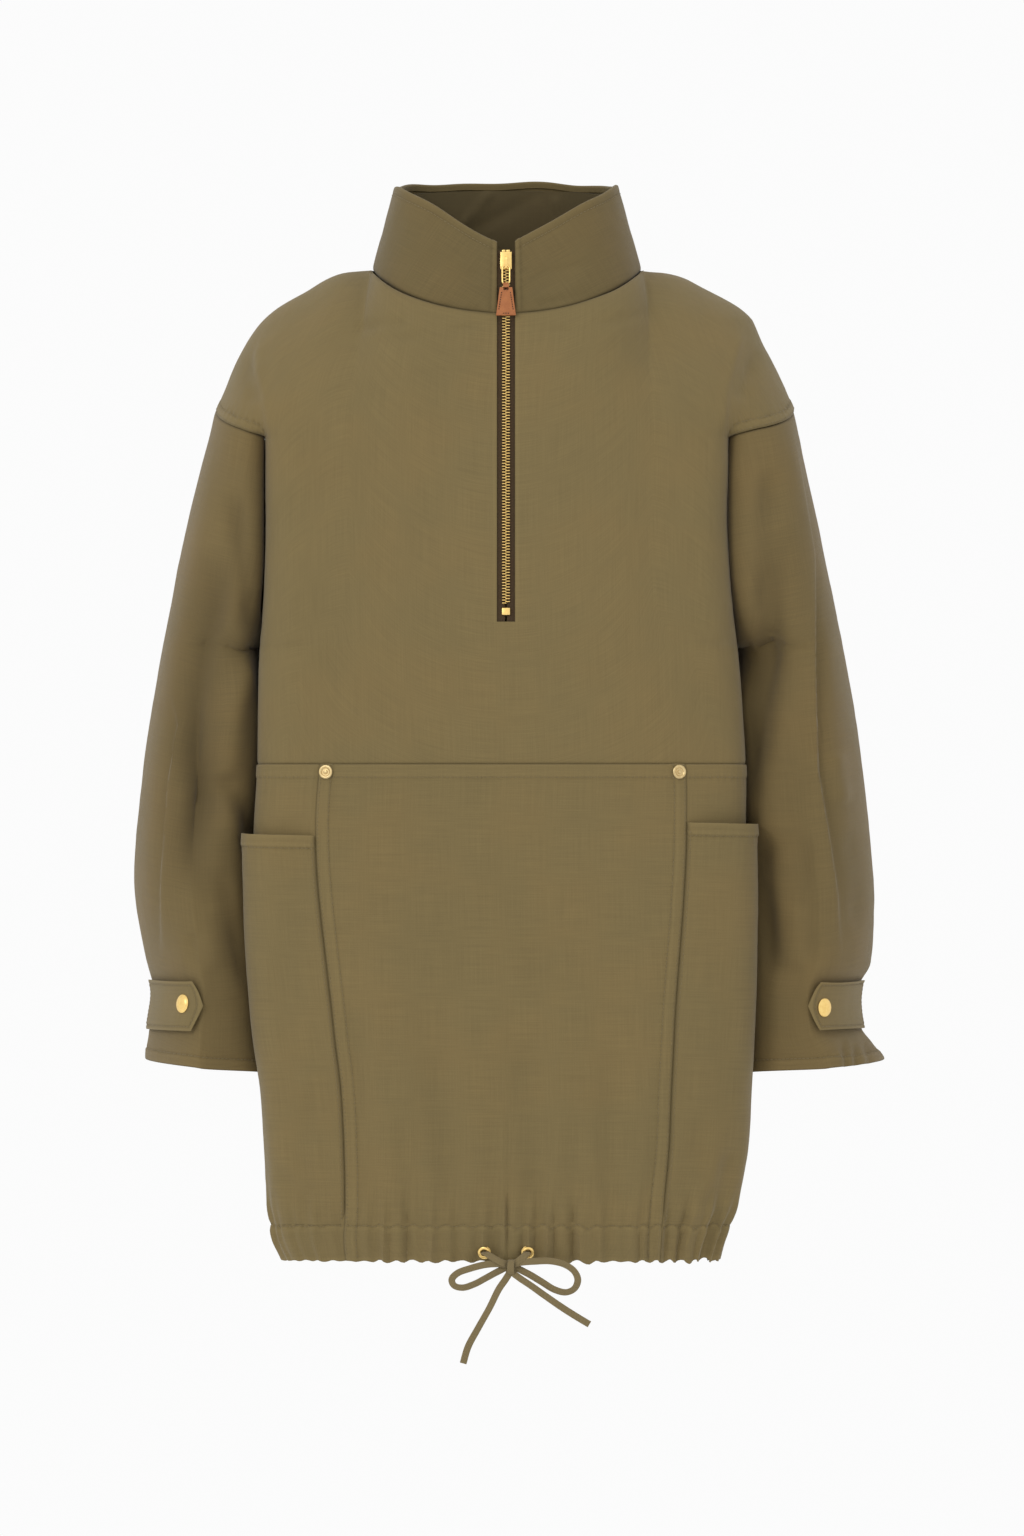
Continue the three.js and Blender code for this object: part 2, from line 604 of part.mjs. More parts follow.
/** A ring of revolution about Z from a closed outline of [radius, height] points. */
function turnedRing(points, segments = 14) {
  return turned([...points, points[0]], segments);
}

function cuffTab() {
  const tab = cloth(tabSurface, tabCentre, 8, 4, TAB_THICKNESS, tabLift);
  return cut(tab, drill(snapSeat, SNAP_SHANK + 2 * SEAT_GAP, 24));
}

/** Press stud parts, each [name, geometry along +Z from the sleeve's outer face, body]. */
function snapParts() {
  const r = SNAP_DIAMETER / 2;
  const under = SEAT_GAP;
  const tabUnder = TAB_CLEARANCE + SNAP_HEIGHT;
  const tabTop = tabUnder + TAB_THICKNESS;
  const shank = SNAP_SHANK / 2;
  const cap = turned([[0, tabUnder + 0.2], [shank, tabUnder + 0.2], [shank, tabTop + SEAT_GAP],
    [r, tabTop + SEAT_GAP], [r, tabTop + 1.1], [0.7 * r, tabTop + 2.1], [0, tabTop + 2.6]]);
  const socket = turnedRing([[3.1, under + 0.9], [5.2, under + 0.9], [5.2, tabUnder - 2 * SEAT_GAP],
    [3.1, tabUnder - 2 * SEAT_GAP]]);
  const stud = turned([[0, under], [5.4, under], [5.4, under + 0.5], [2.6, under + 0.6],
    [2.6, tabUnder - SEAT_GAP], [0, tabUnder - SEAT_GAP]]);
  const post = turned([[0, -CLOTH - SEAT_GAP - 0.8], [5, -CLOTH - SEAT_GAP - 0.8],
    [5, -CLOTH - SEAT_GAP], [1.5, -CLOTH - SEAT_GAP], [1.5, 0], [0, 0]]);
  return { cap, socket, stud, post };
}

// ---- Rivets and eyelets -------------------------------------------------------------------
function rivetParts() {
  const r = RIVET_DIAMETER / 2;
  const shank = RIVET_SHANK / 2;
  const back = -CLOTH - 3 * SEAT_GAP;
  const cap = turned([[0, -CLOTH - 0.2], [shank, -CLOTH - 0.2], [shank, SEAT_GAP], [r, SEAT_GAP],
    [r, 0.9], [0.8 * r, 1.5], [0.52 * r, 1.1], [0.46 * r, 0.7], [0.25 * r, 0.8], [0, 1.4]]);
  const burr = turned([[0, back - 0.9], [0.8 * r, back - 0.9], [0.8 * r, back], [0, back]]);
  return { cap, burr };
}

function eyeletParts() {
  const [hole, barrel] = [EYELET_HOLE / 2, EYELET_BARREL / 2];
  const flange = EYELET_HOLE / 2 + 2.2;
  const back = -CLOTH - SEAT_GAP;
  const eyelet = turnedRing([[hole, back - 0.2], [barrel, back - 0.2], [barrel, SEAT_GAP],
    [flange, SEAT_GAP], [flange, 0.7], [barrel, 1.1], [hole, 0.7]]);
  const washer = turnedRing([[barrel + SEAT_GAP, back - 0.5], [flange, back - 0.5],
    [flange, back], [barrel + SEAT_GAP, back]]);
  return { eyelet, washer };
}

// ---- Zip ----------------------------------------------------------------------------------
const WEB_HALF = 0.5;          // slider web, running in the slot between the two chain halves
const CHAIN_SLOT = WEB_HALF + 0.2;
const CHAIN_FRONT = -0.4;
const CHAIN_BACK = CLOTH;
const TOP_STOP = 2;
const SLIDER_LENGTH = 14;
const SLIDER_TOP = -TOP_STOP - SEAT_GAP;
const CHAIN_END = -ZIP_LENGTH + STOP_HEIGHT;

/** Extrudes an outline drawn in the zip's plane (x across, y up the zip) from depth y0 to y1. */
function zipPlate(points, y0, y1) {
  const shape = new THREE.Shape(points.map(([x, z]) => new THREE.Vector2(x, z)));
  const plate = new THREE.ExtrudeGeometry(shape, { depth: y1 - y0, bevelEnabled: false });
  return placed(plate, 0, y1, 0, Math.PI / 2);
}

/** One half of the chain: a bead along the tape with a tooth at every pitch. */
function zipChain() {
  const [tip, root, edge] = [CHAIN_SLOT, 1.9, CHAIN_WIDTH / 2];
  const top = -TOP_STOP - SEAT_GAP;
  const teeth = Math.floor((top - CHAIN_END - SEAT_GAP) / CHAIN_PITCH);
  const outline = [[edge, top]];
  for (let i = 0; i < teeth; i += 1) {
    const z = top - i * CHAIN_PITCH;
    outline.push([tip, z], [tip, z - CHAIN_PITCH / 2], [root, z - CHAIN_PITCH / 2]);
    outline.push([root, z - CHAIN_PITCH]);
  }
  const foot = CHAIN_END + SEAT_GAP;
  outline.push([root, foot], [edge, foot]);
  return inZip(zipPlate(outline.reverse(), CHAIN_FRONT, CHAIN_BACK));
}

const FACING_WIDTH = 17;
const TAPE_INNER = CHAIN_SLOT + 0.2;
const zipTape = () => inZip(box(TAPE_INNER, TAPE_INNER + TAPE_WIDTH,
  CLOTH + SEAT_GAP, TAPE_BACK, -ZIP_LENGTH - 8, -0.4));
const zipFacing = () => inZip(box(ZIP_WINDOW / 2 + 0.5, ZIP_WINDOW / 2 + FACING_WIDTH,
  TAPE_BACK + SEAT_GAP, TAPE_BACK + SEAT_GAP + CLOTH, -ZIP_LENGTH - 8,
  -COLLAR_FRONT_HEIGHT - 4));
const zipTopStop = () => inZip(box(CHAIN_SLOT, CHAIN_WIDTH / 2, CHAIN_FRONT - 0.3, CHAIN_BACK,
  -TOP_STOP, -0.4));
const zipBottomStop = () => inZip(box(-CHAIN_WIDTH / 2, CHAIN_WIDTH / 2, CHAIN_FRONT - 0.5,
  CHAIN_BACK, -ZIP_LENGTH, CHAIN_END));

const PLATE = 1.1;
const SLIDER_FRONT = CHAIN_FRONT - SEAT_GAP - PLATE;
const CROWN_HEIGHT = 3.2;
const CROWN_WIDTH = 1.8;

/** Slider: front and back plates joined by a web, side lips, and a crown arch for the pull. */
function zipSlider() {
  const [half, foot] = [4.4, SLIDER_TOP - SLIDER_LENGTH];
  const wing = [[-half, SLIDER_TOP - 2], [-half + 1.4, SLIDER_TOP], [half - 1.4, SLIDER_TOP],
    [half, SLIDER_TOP - 2], [half - 0.6, foot], [-half + 0.6, foot]];
  const front = zipPlate([...wing].reverse(), SLIDER_FRONT, SLIDER_FRONT + PLATE);
  const backY = TAPE_BACK + SEAT_GAP;
  const back = zipPlate([...wing].reverse(), backY, backY + PLATE);
  const web = box(-WEB_HALF, WEB_HALF, SLIDER_FRONT + 0.5, backY + 0.5, SLIDER_TOP - 6, SLIDER_TOP);
  const lips = SIDES.map(([, side]) => placed(
    box(-0.35, 0.35, SLIDER_FRONT + 0.5, CHAIN_FRONT + 1.1, foot, SLIDER_TOP - 3),
    side * (half - 0.75), 0, 0));
  const crown = zipArch(CROWN_WIDTH);
  return inZip(join(front, back, web, ...lips, crown));
}

/** The crown: an arch in the YZ plane over the pull's pin, open from side to side. */
const PIVOT_Z = SLIDER_TOP - 11;
const PIN_RADIUS = 0.8;
function zipArch(width) {
  const [z0, z1] = [SLIDER_TOP - 13.5, SLIDER_TOP - 3.5];
  const outer = box(-width / 2, width / 2, SLIDER_FRONT - CROWN_HEIGHT, SLIDER_FRONT + 0.5, z0, z1);
  const inner = box(-width, width, SLIDER_FRONT - CROWN_HEIGHT + 1, SLIDER_FRONT - 0.01,
    z0 + 1.2, z1 - 1.2);
  return cut(outer, inner);
}

const PULL_LENGTH = 15;
const PULL_HALF = 3.6;
const PULL_WIRE = 1.4;
const PULL_Y = SLIDER_FRONT - CROWN_HEIGHT + 1 + SEAT_GAP + PIN_RADIUS;
const TAB_PIVOT_Z = PIVOT_Z - PULL_LENGTH;

/** Bail: a frame whose top pin passes through the crown and whose foot bar holds the leather. */
function zipPull() {
  const frame = box(-PULL_HALF, PULL_HALF, PULL_Y - PULL_WIRE / 2, PULL_Y + PULL_WIRE / 2,
    TAB_PIVOT_Z - PULL_WIRE / 2, PIVOT_Z + PIN_RADIUS);
  const window = box(-PULL_HALF + PULL_WIRE, PULL_HALF - PULL_WIRE, PULL_Y - 3, PULL_Y + 3,
    TAB_PIVOT_Z + PULL_WIRE / 2, PIVOT_Z - PIN_RADIUS);
  return inZip(cut(frame, window));
}

const LEATHER_LENGTH = 27;
const LEATHER_THICKNESS = 2.8;

/** Leather tab: folded over the bail's foot bar, wider at its free end. */
function pullTab() {
  const [top, foot] = [TAB_PIVOT_Z + 2.2, TAB_PIVOT_Z + 2.2 - LEATHER_LENGTH];
  const inside = PULL_HALF - PULL_WIRE - SEAT_GAP;
  const shoulder = TAB_PIVOT_Z - PULL_WIRE / 2 - SEAT_GAP;
  const outline = [[-inside, top], [-inside, shoulder], [-5, shoulder - 0.4], [-7.8, foot],
    [7.8, foot], [5, shoulder - 0.4], [inside, shoulder], [inside, top]];
  const half = LEATHER_THICKNESS / 2;
  const leather = zipPlate(outline, PULL_Y - half, PULL_Y + half);
  const room = PULL_WIRE / 2 + SEAT_GAP + 0.05;
  const bar = box(-PULL_HALF - 1, PULL_HALF + 1, PULL_Y - room, PULL_Y + room,
    TAB_PIVOT_Z - room, TAB_PIVOT_Z + room);
  return inZip(cut(leather, bar));
}

// ---- Drawcord -----------------------------------------------------------------------------

/** Flat cord along a list of points; upright cord stands on edge, as in the hem channel. */
function flatCord(points, steps, upright = false) {
  const curve = new THREE.CatmullRomCurve3(points.map(([x, y, z]) => new THREE.Vector3(x, y, z)));
  const [a, b] = upright ? [CORD_WIDTH / 2, CORD_THICKNESS / 2] : [CORD_THICKNESS / 2, CORD_WIDTH / 2];
  const shape = new THREE.Shape();
  shape.absellipse(0, 0, a, b, 0, 2 * Math.PI, false, 0);
  return new THREE.ExtrudeGeometry(shape, { steps, curveSegments: 4, extrudePath: curve });
}

const CHANNEL_START_S = 0.17;  // beside the eyelet
const CHANNEL_Z = EYELET_Z + 2;

/** The stretch in the hem channel, from just beside one eyelet round the back to the other. */
function channelCord() {
  const points = [];
  const surface = ringBand(CHANNEL_START_S, 12 - CHANNEL_START_S, CHANNEL_Z, CHANNEL_Z - 2);
  const middle = offset(surface, -(CLOTH + CHANNEL_DEPTH) / 2, bodyCentre);
  for (let i = 0; i <= 24; i += 1) {
    const point = middle(i / 24, 0);
    points.push([point.x, point.y, point.z]);
  }
  return flatCord(points, 44, true);
}

const KNOT = [4, -7];          // middle of the bow's knot, across and below the eyelets
const KNOT_HALF = [5, 3.4, 6];
const bowY = eyeletSeat.point.y - 5.5;

/** Cord points given as [x, forward of the bow's plane, below the eyelets]. */
const bowPath = (points) => points.map(([x, forward, below]) => [x, bowY - forward, EYELET_Z + below]);

const CORD_ROUTES = {
  lead_left: { steps: 9, points: [[-17, -10, 0], [-17, -2.4, 0], [-14.5, 0.4, -1],
    [-8, 0.6, -4.6], [-0.6, -0.6, -6.8]] },
  lead_right: { steps: 8, points: [[17, -10, 0], [17, -2.4, 0], [15.6, 0.2, -1],
    [13, 0.6, -3.6], [8.6, -0.6, -6.4]] },
  loop_left: { steps: 26, points: [[-1.6, 1.4, -9.2], [-14, 3, -9.8], [-30, 3.4, -13],
    [-41, 3, -18], [-41, 2, -25], [-33, 1, -27.6], [-20, 0.2, -22], [-9, -1, -15], [-1.8, -1.8, -12]] },
  loop_right: { steps: 28, points: [[9.8, 1.4, -8.4], [22, 3, -7.4], [38, 3.4, -8.6],
    [52, 3, -14], [55, 2, -24], [47, 1, -30], [32, 0.2, -24], [19, -1, -16], [9.8, -1.8, -12]] },
  tail_left: { steps: 18, points: [[1.6, 0.6, -16.2], [-5, 1.2, -28], [-14, 2, -44],
    [-24, 2.2, -61], [-31, 2, -76], [-33, 2, -86]] },
  tail_right: { steps: 16, points: [[6.6, 0.6, -16.4], [18, 4, -24], [34, 5.4, -36],
    [50, 4, -45], [65, 3, -55]] },
};

function cordKnot() {
  const ball = new THREE.SphereGeometry(1, 12, 8);
  ball.scale(...KNOT_HALF);
  return placed(ball, KNOT[0], bowY, EYELET_Z + KNOT[1] - 3);
}

// ---- Assembly -----------------------------------------------------------------------------
const jacket = new THREE.Group();

const zipMetal = [GOLD, 0.28, 0.95];
jacket.add(
  named('front_chest_panel', frontChestPanel(), OLIVE),
  named('upper_back_panel', upperBackPanel(), OLIVE),
  named('lower_front_panel', lowerFrontPanel(), OLIVE),
  named('lower_back_panel', lowerBackPanel(), OLIVE),
  named('hem_casing', hemCasing(), OLIVE_INSIDE),
  named('collar_outer', collarOuter(), OLIVE_COLLAR),
  named('collar_facing', collarFacing(), OLIVE_INSIDE),
  named('zip_bottom_stop', zipBottomStop(), ...zipMetal),
  named('zip_slider', zipSlider(), ...zipMetal),
  named('zip_pull', zipPull(), ...zipMetal),
  named('pull_tab', pullTab(), TAN_LEATHER, 0.55),
);

const snapHoles = drill(snapSeat, SNAP_SHANK + 2 * SEAT_GAP, 24);
const sleeveFront = cut(sleeveHalf(FRONT), snapHoles);
const sleeveBack = sleeveHalf(BACK);
const snap = snapParts();
const rivet = rivetParts();
const eyelet = eyeletParts();

for (const [word, side] of SIDES) {
  const rivetAt = mirrorSeat(rivetSeat, side);
  const eyeletAt = mirrorSeat(eyeletSeat, side);
  const snapAt = (geometry) => onSide(onSeat(geometry, snapSeat), side);
  jacket.add(
    named(`lower_side_panel_${word}`, onSide(lowerSidePanel(), side), OLIVE),
    named(`pocket_${word}`, onSide(pocket(), side), OLIVE),
    named(`sleeve_front_${word}`, onSide(sleeveFront, side), OLIVE_SLEEVE),
    named(`sleeve_back_${word}`, onSide(sleeveBack, side), OLIVE_SLEEVE),
    named(`cuff_tab_${word}`, onSide(cuffTab(), side), OLIVE),
    named(`snap_cap_${word}`, snapAt(snap.cap), ...zipMetal),
    named(`snap_socket_${word}`, snapAt(snap.socket), ...zipMetal),
    named(`snap_stud_${word}`, snapAt(snap.stud), ...zipMetal),
    named(`snap_post_${word}`, snapAt(snap.post), ...zipMetal),
    named(`rivet_cap_${word}`, onSeat(rivet.cap, rivetAt), PALE_GOLD, 0.4, 0.9),
    named(`rivet_burr_${word}`, onSeat(rivet.burr, rivetAt), PALE_GOLD, 0.4, 0.9),
    named(`eyelet_${word}`, onSeat(eyelet.eyelet, eyeletAt), ...zipMetal),
    named(`eyelet_washer_${word}`, onSeat(eyelet.washer, eyeletAt), ...zipMetal),
    named(`zip_tape_${word}`, onSide(zipTape(), side), TAPE_BROWN),
    named(`zip_facing_${word}`, onSide(zipFacing(), side), OLIVE_INSIDE),
    named(`zip_chain_${word}`, onSide(zipChain(), side), ...zipMetal),
    named(`zip_top_stop_${word}`, onSide(zipTopStop(), side), ...zipMetal),
  );
}

jacket.add(named('drawcord_channel', channelCord(), OLIVE));
jacket.add(named('drawcord_knot', cordKnot(), OLIVE));
for (const [word, { points, steps }] of Object.entries(CORD_ROUTES)) {
  jacket.add(named(`drawcord_${word}`, flatCord(bowPath(points), steps), OLIVE));
}

export default jacket;
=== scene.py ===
"""Half-zip smock jacket in olive cotton and linen, worn by nobody and lit as in a studio.

Metres, Z up, the front towards -Y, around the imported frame. Forms are worked out in
millimetres and turned to metres when a mesh is made.
"""

import logging
import math
from dataclasses import dataclass
from enum import Enum
from typing import Callable, Sequence

import bmesh
import bpy
import numpy as np
from mathutils import Matrix, Vector


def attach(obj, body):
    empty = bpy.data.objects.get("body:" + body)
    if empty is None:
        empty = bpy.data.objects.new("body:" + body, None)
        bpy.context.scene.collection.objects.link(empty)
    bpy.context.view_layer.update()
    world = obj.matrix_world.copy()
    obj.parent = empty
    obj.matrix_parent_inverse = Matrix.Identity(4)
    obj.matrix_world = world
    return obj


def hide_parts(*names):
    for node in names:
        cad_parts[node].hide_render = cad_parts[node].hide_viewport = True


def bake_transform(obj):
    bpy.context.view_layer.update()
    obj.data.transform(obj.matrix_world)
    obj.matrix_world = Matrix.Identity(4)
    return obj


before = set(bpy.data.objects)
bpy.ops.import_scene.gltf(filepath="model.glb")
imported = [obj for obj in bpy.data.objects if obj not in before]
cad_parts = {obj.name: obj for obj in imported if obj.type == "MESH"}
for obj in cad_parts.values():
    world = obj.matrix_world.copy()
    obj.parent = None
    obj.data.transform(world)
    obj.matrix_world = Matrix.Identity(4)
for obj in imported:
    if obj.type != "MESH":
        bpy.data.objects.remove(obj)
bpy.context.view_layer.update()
LOG = logging.getLogger("smock")
MM = 0.001
FACING_GAIN = 1.6  # how soon cloth that turns to a side takes that side's folds in full
PAINTED_FOLD_SHADE_DEPTH = 11.0  # millimetres of dip that shade a fold in full
Array = np.ndarray


class Side(Enum):
    """The wearer-facing sides, named as in the frame: left is -X."""

    LEFT = ("left", -1)
    RIGHT = ("right", 1)

    @property
    def word(self) -> str:
        """The side's word in piece and body names."""
        return self.value[0]

    @property
    def sign(self) -> int:
        """The sign of X on this side."""
        return self.value[1]


class Face(Enum):
    """Front or back of the garment, with the sign of Y."""

    FRONT = -1
    BACK = 1


# ---- Numbers that follow the frame --------------------------------------------------------


def smoothstep(t: Array) -> Array:
    """A smooth rise from 0 to 1."""
    k = np.clip(t, 0.0, 1.0)
    return k * k * (3 - 2 * k)


def lattice_noise(p: Array, scale: float, seed: float) -> Array:
    """Smooth noise from -1 to 1 on a lattice.

    Args:
        p: Points, the last axis being x, y, z.
        scale: Size of one lattice cell, in the points' unit.
        seed: Any number; each gives another pattern.

    Returns:
        One value for each point.
    """
    q = p / scale + seed * 17.137
    cell = np.floor(q)
    f = q - cell
    f = f * f * f * (f * (f * 6 - 15) + 10)
    total = np.zeros(p.shape[:-1])
    for i in (0, 1):
        for j in (0, 1):
            for k in (0, 1):
                corner = (cell[..., 0] + i) * 127.1 + (cell[..., 1] + j) * 311.7
                corner = corner + (cell[..., 2] + k) * 74.7 + seed * 3.1
                value = np.modf(np.abs(np.sin(corner) * 43758.5453))[0]
                share = (f[..., 0] if i else 1 - f[..., 0]) * (f[..., 1] if j else 1 - f[..., 1])
                total += value * share * (f[..., 2] if k else 1 - f[..., 2])
    return total * 2 - 1


class Rows:
    """Smooth values down the garment, from rows of (height, value, ...), top row first."""

    def __init__(self, rows: Sequence[Sequence[float]]) -> None:
        """Keeps the rows and works out the slope at each.

        Args:
            rows: Rows of numbers, the first being the height.
        """
        table = np.array(rows, float)
        self.height = table[:, 0]
        self.value = table[:, 1:]
        above = np.r_[0, np.arange(len(table) - 1)]
        below = np.r_[np.arange(1, len(table)), len(table) - 1]
        step = (self.height[below] - self.height[above])[:, None]
        self.slope = (self.value[below] - self.value[above]) / step

    def at(self, z: Array) -> Array:
        """The values at heights z, on a new last axis."""
        z = np.clip(np.asarray(z, float), self.height[-1], self.height[0])
        k = np.clip(np.searchsorted(-self.height, -z, side="right") - 1, 0, len(self.height) - 2)
        span = self.height[k + 1] - self.height[k]
        t = ((z - self.height[k]) / span)[..., None]
        span = span[..., None]
        h1, h2, h3 = t * t * (3 - 2 * t), t * (1 - t) ** 2, t * t * (t - 1)
        low, high = self.value[k], self.value[k + 1]
        return low * (1 - h1) + high * h1 + span * (self.slope[k] * h2 + self.slope[k + 1] * h3)


def catmull(points: Array, t: Array, closed: bool) -> Array:
    """A centripetal Catmull-Rom curve through points.

    Args:
        points: Control points, shape (..., n, 3), the leading axes matching t.
        t: Place along the curve in control-point steps.
        closed: Whether the curve joins up.

    Returns:
        Points of the curve, shape t.shape + (3,).
    """
    n = points.shape[-2]
    t = np.asarray(t, float)
    k = np.floor(t).astype(int)
    if not closed:
        k = np.clip(k, 0, n - 2)
    w = t - k
    if not closed:
        first = 2 * points[..., :1, :] - points[..., 1:2, :]
        last = 2 * points[..., -1:, :] - points[..., -2:-1, :]
        points = np.concatenate([first, points, last], axis=-2)
        k = k + 1
    m = points.shape[-2]
    points = np.broadcast_to(points, t.shape + points.shape[-2:])

    def pick(i: Array) -> Array:
        index = (i % m)[..., None, None] * np.ones(3, int)
        return np.take_along_axis(points, index, axis=-2)[..., 0, :]

    p0, p1, p2, p3 = (pick(k + d) for d in (-1, 0, 1, 2))
    gap = [np.maximum(np.linalg.norm(b - a, axis=-1), 1e-4)[..., None] ** 0.5
           for a, b in ((p0, p1), (p1, p2), (p2, p3))]
    m1 = ((p1 - p0) / gap[0] - (p2 - p0) / (gap[0] + gap[1]) + (p2 - p1) / gap[1]) * gap[1]
    m2 = ((p2 - p1) / gap[1] - (p3 - p1) / (gap[1] + gap[2]) + (p3 - p2) / gap[2]) * gap[1]
    w = w[..., None]
    return (p1 + m1 * w + (-3 * p1 + 3 * p2 - 2 * m1 - m2) * w ** 2
            + (2 * p1 - 2 * p2 + m1 + m2) * w ** 3)


def hermite(start: Array, end: Array, leave: Array, arrive: Array, t: Array) -> Array:
    """A Hermite curve between two points, with full-length tangents."""
    t = t[..., None]
    h1, h2 = t * t * (3 - 2 * t), t * (1 - t) ** 2
    return start * (1 - h1) + end * h1 + leave * h2 + arrive * t * t * (t - 1)


def unit(v: Array) -> Array:
    """Vectors at length one."""
    return v / np.maximum(np.linalg.norm(v, axis=-1, keepdims=True), 1e-9)


def triple(x: Array, y: Array, z: Array) -> Array:
    """Points from three arrays that broadcast together."""
    return np.stack(np.broadcast_arrays(np.asarray(x, float), y, z), axis=-1)


@dataclass(frozen=True)
class Form:
    """The shape that the jacket takes when it is worn, in millimetres."""

    cloth: float = 1.2
    yoke_z: float = -135.0
    drop_z: float = -112.0
    armpit_z: float = -300.0
    waist_z: float = -392.0
    hem_z: float = -780.0
    casing_z: float = -751.0
    chest: float = 187.0
    shoulder: float = 227.0
    sleeve: float = 512.0
    cuff_slant: float = 12.0
    neck: float = 106.0
    neck_front_z: float = -39.0
    neck_side_z: float = -4.0
    neck_side_y: float = -6.0
    neck_back_y: float = 52.0
    neck_flatness: float = 1.7
    zip_top_z: float = 11.0
    zip_top_y: float = -84.0
    zip_lean: float = 0.144
    zip_length: float = 290.0
    armhole_s: float = 0.65
    sleeve_y: float = -10.0
    tab_z: float = -581.0
    tab_height: float = 40.0
    seam_waist: float = 143.0
    seam_hem: float = 128.0

    @property
    def zip_end_z(self) -> float:
        """Height at which the front leaves the zip's straight line."""
        return self.zip_top_z - (self.zip_length + 12) / math.hypot(1, self.zip_lean)

    @property
    def cuff_z(self) -> float:
        """Height of the cuff edge on the outer side."""
        return self.drop_z - self.sleeve

    def zip_plane(self, z: Array) -> Array:
        """Depth of the zip's plane at height z."""
        return self.zip_top_y - self.zip_lean * (self.zip_top_z - z)

    def front(self, z: Array) -> Array:
        """Depth of the middle of the front at height z."""
        hip, end = self.waist_z - 0.54 * 388, self.zip_end_z
        rows = Rows([[self.yoke_z, self.zip_plane(self.yoke_z)],
                     [end + 20, self.zip_plane(end + 20)],
                     [end, self.zip_plane(end)], [self.waist_z, -133], [hip, -131],
                     [self.hem_z + 40, -124], [self.hem_z, -113]])
        return np.where(z >= end, self.zip_plane(z), rows.at(z)[..., 0])

    def ring(self, s: Array, z: Array) -> Array:
        """The body at ring position s (0 front middle, 2 fold, 3 side, 6 back) and height z."""
        c, sw, sh = self.chest, self.seam_waist, self.seam_hem
        rows = Rows([
            [self.yoke_z, 104, 2, c - 9, -88, c - 11, -12, 158, 64, 88, 96, 103],
            [self.armpit_z, 110, 2.5, c - 2, -104, c - 6, -10, 166, 78, 92, 108, 114],
            [self.waist_z, sw, 7, c, -105, c - 3, -8, 168, 80, 94, 108, 114],
            [self.waist_z - 0.54 * 388, (sw + sh) / 2, 7, c + 2, -101, c - 1, -8, 168, 78, 94, 106,
             111],
            [self.hem_z + 40, sh + 1, 6, c - 4, -96, c - 7, -8, 160, 72, 90, 99, 104],
            [self.hem_z, sh, 5, c - 14, -88, c - 16, -8, 150, 66, 85, 92, 97]])
        s, z = np.broadcast_arrays(np.asarray(s, float), np.asarray(z, float))
        v = np.moveaxis(rows.at(z), -1, 0)
        front = self.front(z)
        half = [(v[1] * 0, front), (v[0], front + v[1]), (v[2], v[3]), (v[4], v[5]),
                (v[6], v[7]), (v[8], v[9]), (v[0] * 0, v[10])]
        around = half + [(-x, y) for x, y in reversed(half[1:6])]
        points = np.stack([triple(x, y, z) for x, y in around], axis=-2)
        return catmull(points, np.mod(s, 12), True)

    def reach(self, z: Array) -> Array:
        """How far the armhole edge lies from the side seam at height z, in ring steps."""
        k = np.clip((z - self.armpit_z) / 50, 0, 1)
        return self.armhole_s * np.sqrt(1 - (1 - k) ** 2)

    def sleeve_rows(self, z: Array) -> Array:
        """Outer x, inner x, half depth and squareness of the sleeve at height z."""
        s, c, d, n = self.shoulder, self.chest, self.drop_z, self.sleeve
        rows = Rows([[d, s, c - 4, 50, 2.2], [self.yoke_z, s + 4.5, c - 2, 58, 2.2],
                     [d - 0.17 * n, s + 18, c, 70, 2.2], [self.armpit_z, s + 38, c + 4.5, 80, 2.1],
                     [d - 0.56 * n, s + 54, c + 6.5, 84, 1.9],
                     [d - 0.72 * n, s + 61.5, c + 8.5, 84, 1.7],
                     [self.tab_z + 28, s + 54, c + 8, 80, 1.5],
                     [self.tab_z, s + 53, c + 8, 79, 1.45],
                     [self.cuff_z - self.cuff_slant, s + 58, c + 8, 78, 1.45]])
        return rows.at(z)

    def section(self, face: Face, u: Array, z: Array) -> Array:
        """The sleeve at u, from the outer ridge (0) to the inner side (1), and height z."""
        u, z = np.broadcast_arrays(np.asarray(u, float), np.asarray(z, float))
        outer, inner, depth, square = np.moveaxis(self.sleeve_rows(z), -1, 0)
        c, s = np.cos(u * np.pi), np.sin(u * np.pi)
        square = square + 1.1 * smoothstep((u - 0.5) / 0.3) * smoothstep((self.armpit_z - z) / 60)
        x = (outer + inner) / 2 + (outer - inner) / 2 * np.sign(c) * np.abs(c) ** (2 / square)
        y = self.sleeve_y + face.value * depth * np.abs(s) ** (2 / square)
        edge = self.ring(3 + face.value * self.reach(z), np.minimum(z, self.yoke_z))
        above = z > self.armpit_z
        x = x + np.where(above, (edge[..., 0] - inner) * u ** 10, 0)
        y = y + np.where(above, (edge[..., 1] - self.sleeve_y) * u ** 3, 0)
        return triple(x, y, z)

    def sleeve_point(self, face: Face, u: Array, t: Array) -> Array:
        """The sleeve at u and at share t of its length from the drop seam."""
        top = self.drop_z + (self.yoke_z - self.drop_z) * np.sin(u * np.pi / 2)
        return self.section(face, u, top + (self.cuff_z - self.cuff_slant * u - top) * t)

    @property
    def neck_s(self) -> float:
        """Ring position that meets the neck end of the shoulder seam."""
        return (3 - self.armhole_s) / 2

    def neckline(self, face: Face, q: Array) -> Array:
        """The neckline from the middle (0) to the shoulder seam (1)."""
        s, c = np.sin(q * np.pi / 2), np.maximum(np.cos(q * np.pi / 2), 0)
        if face is Face.FRONT:
            middle = self.zip_plane(self.neck_front_z)
            rise = (self.neck_front_z - self.neck_side_z) * c ** 1.5
        else:
            middle, rise = self.neck_back_y, 6 * c
        y = middle + (self.neck_side_y - middle) * (1 - c) ** self.neck_flatness
        return triple(self.neck * s, y, self.neck_side_z + rise)

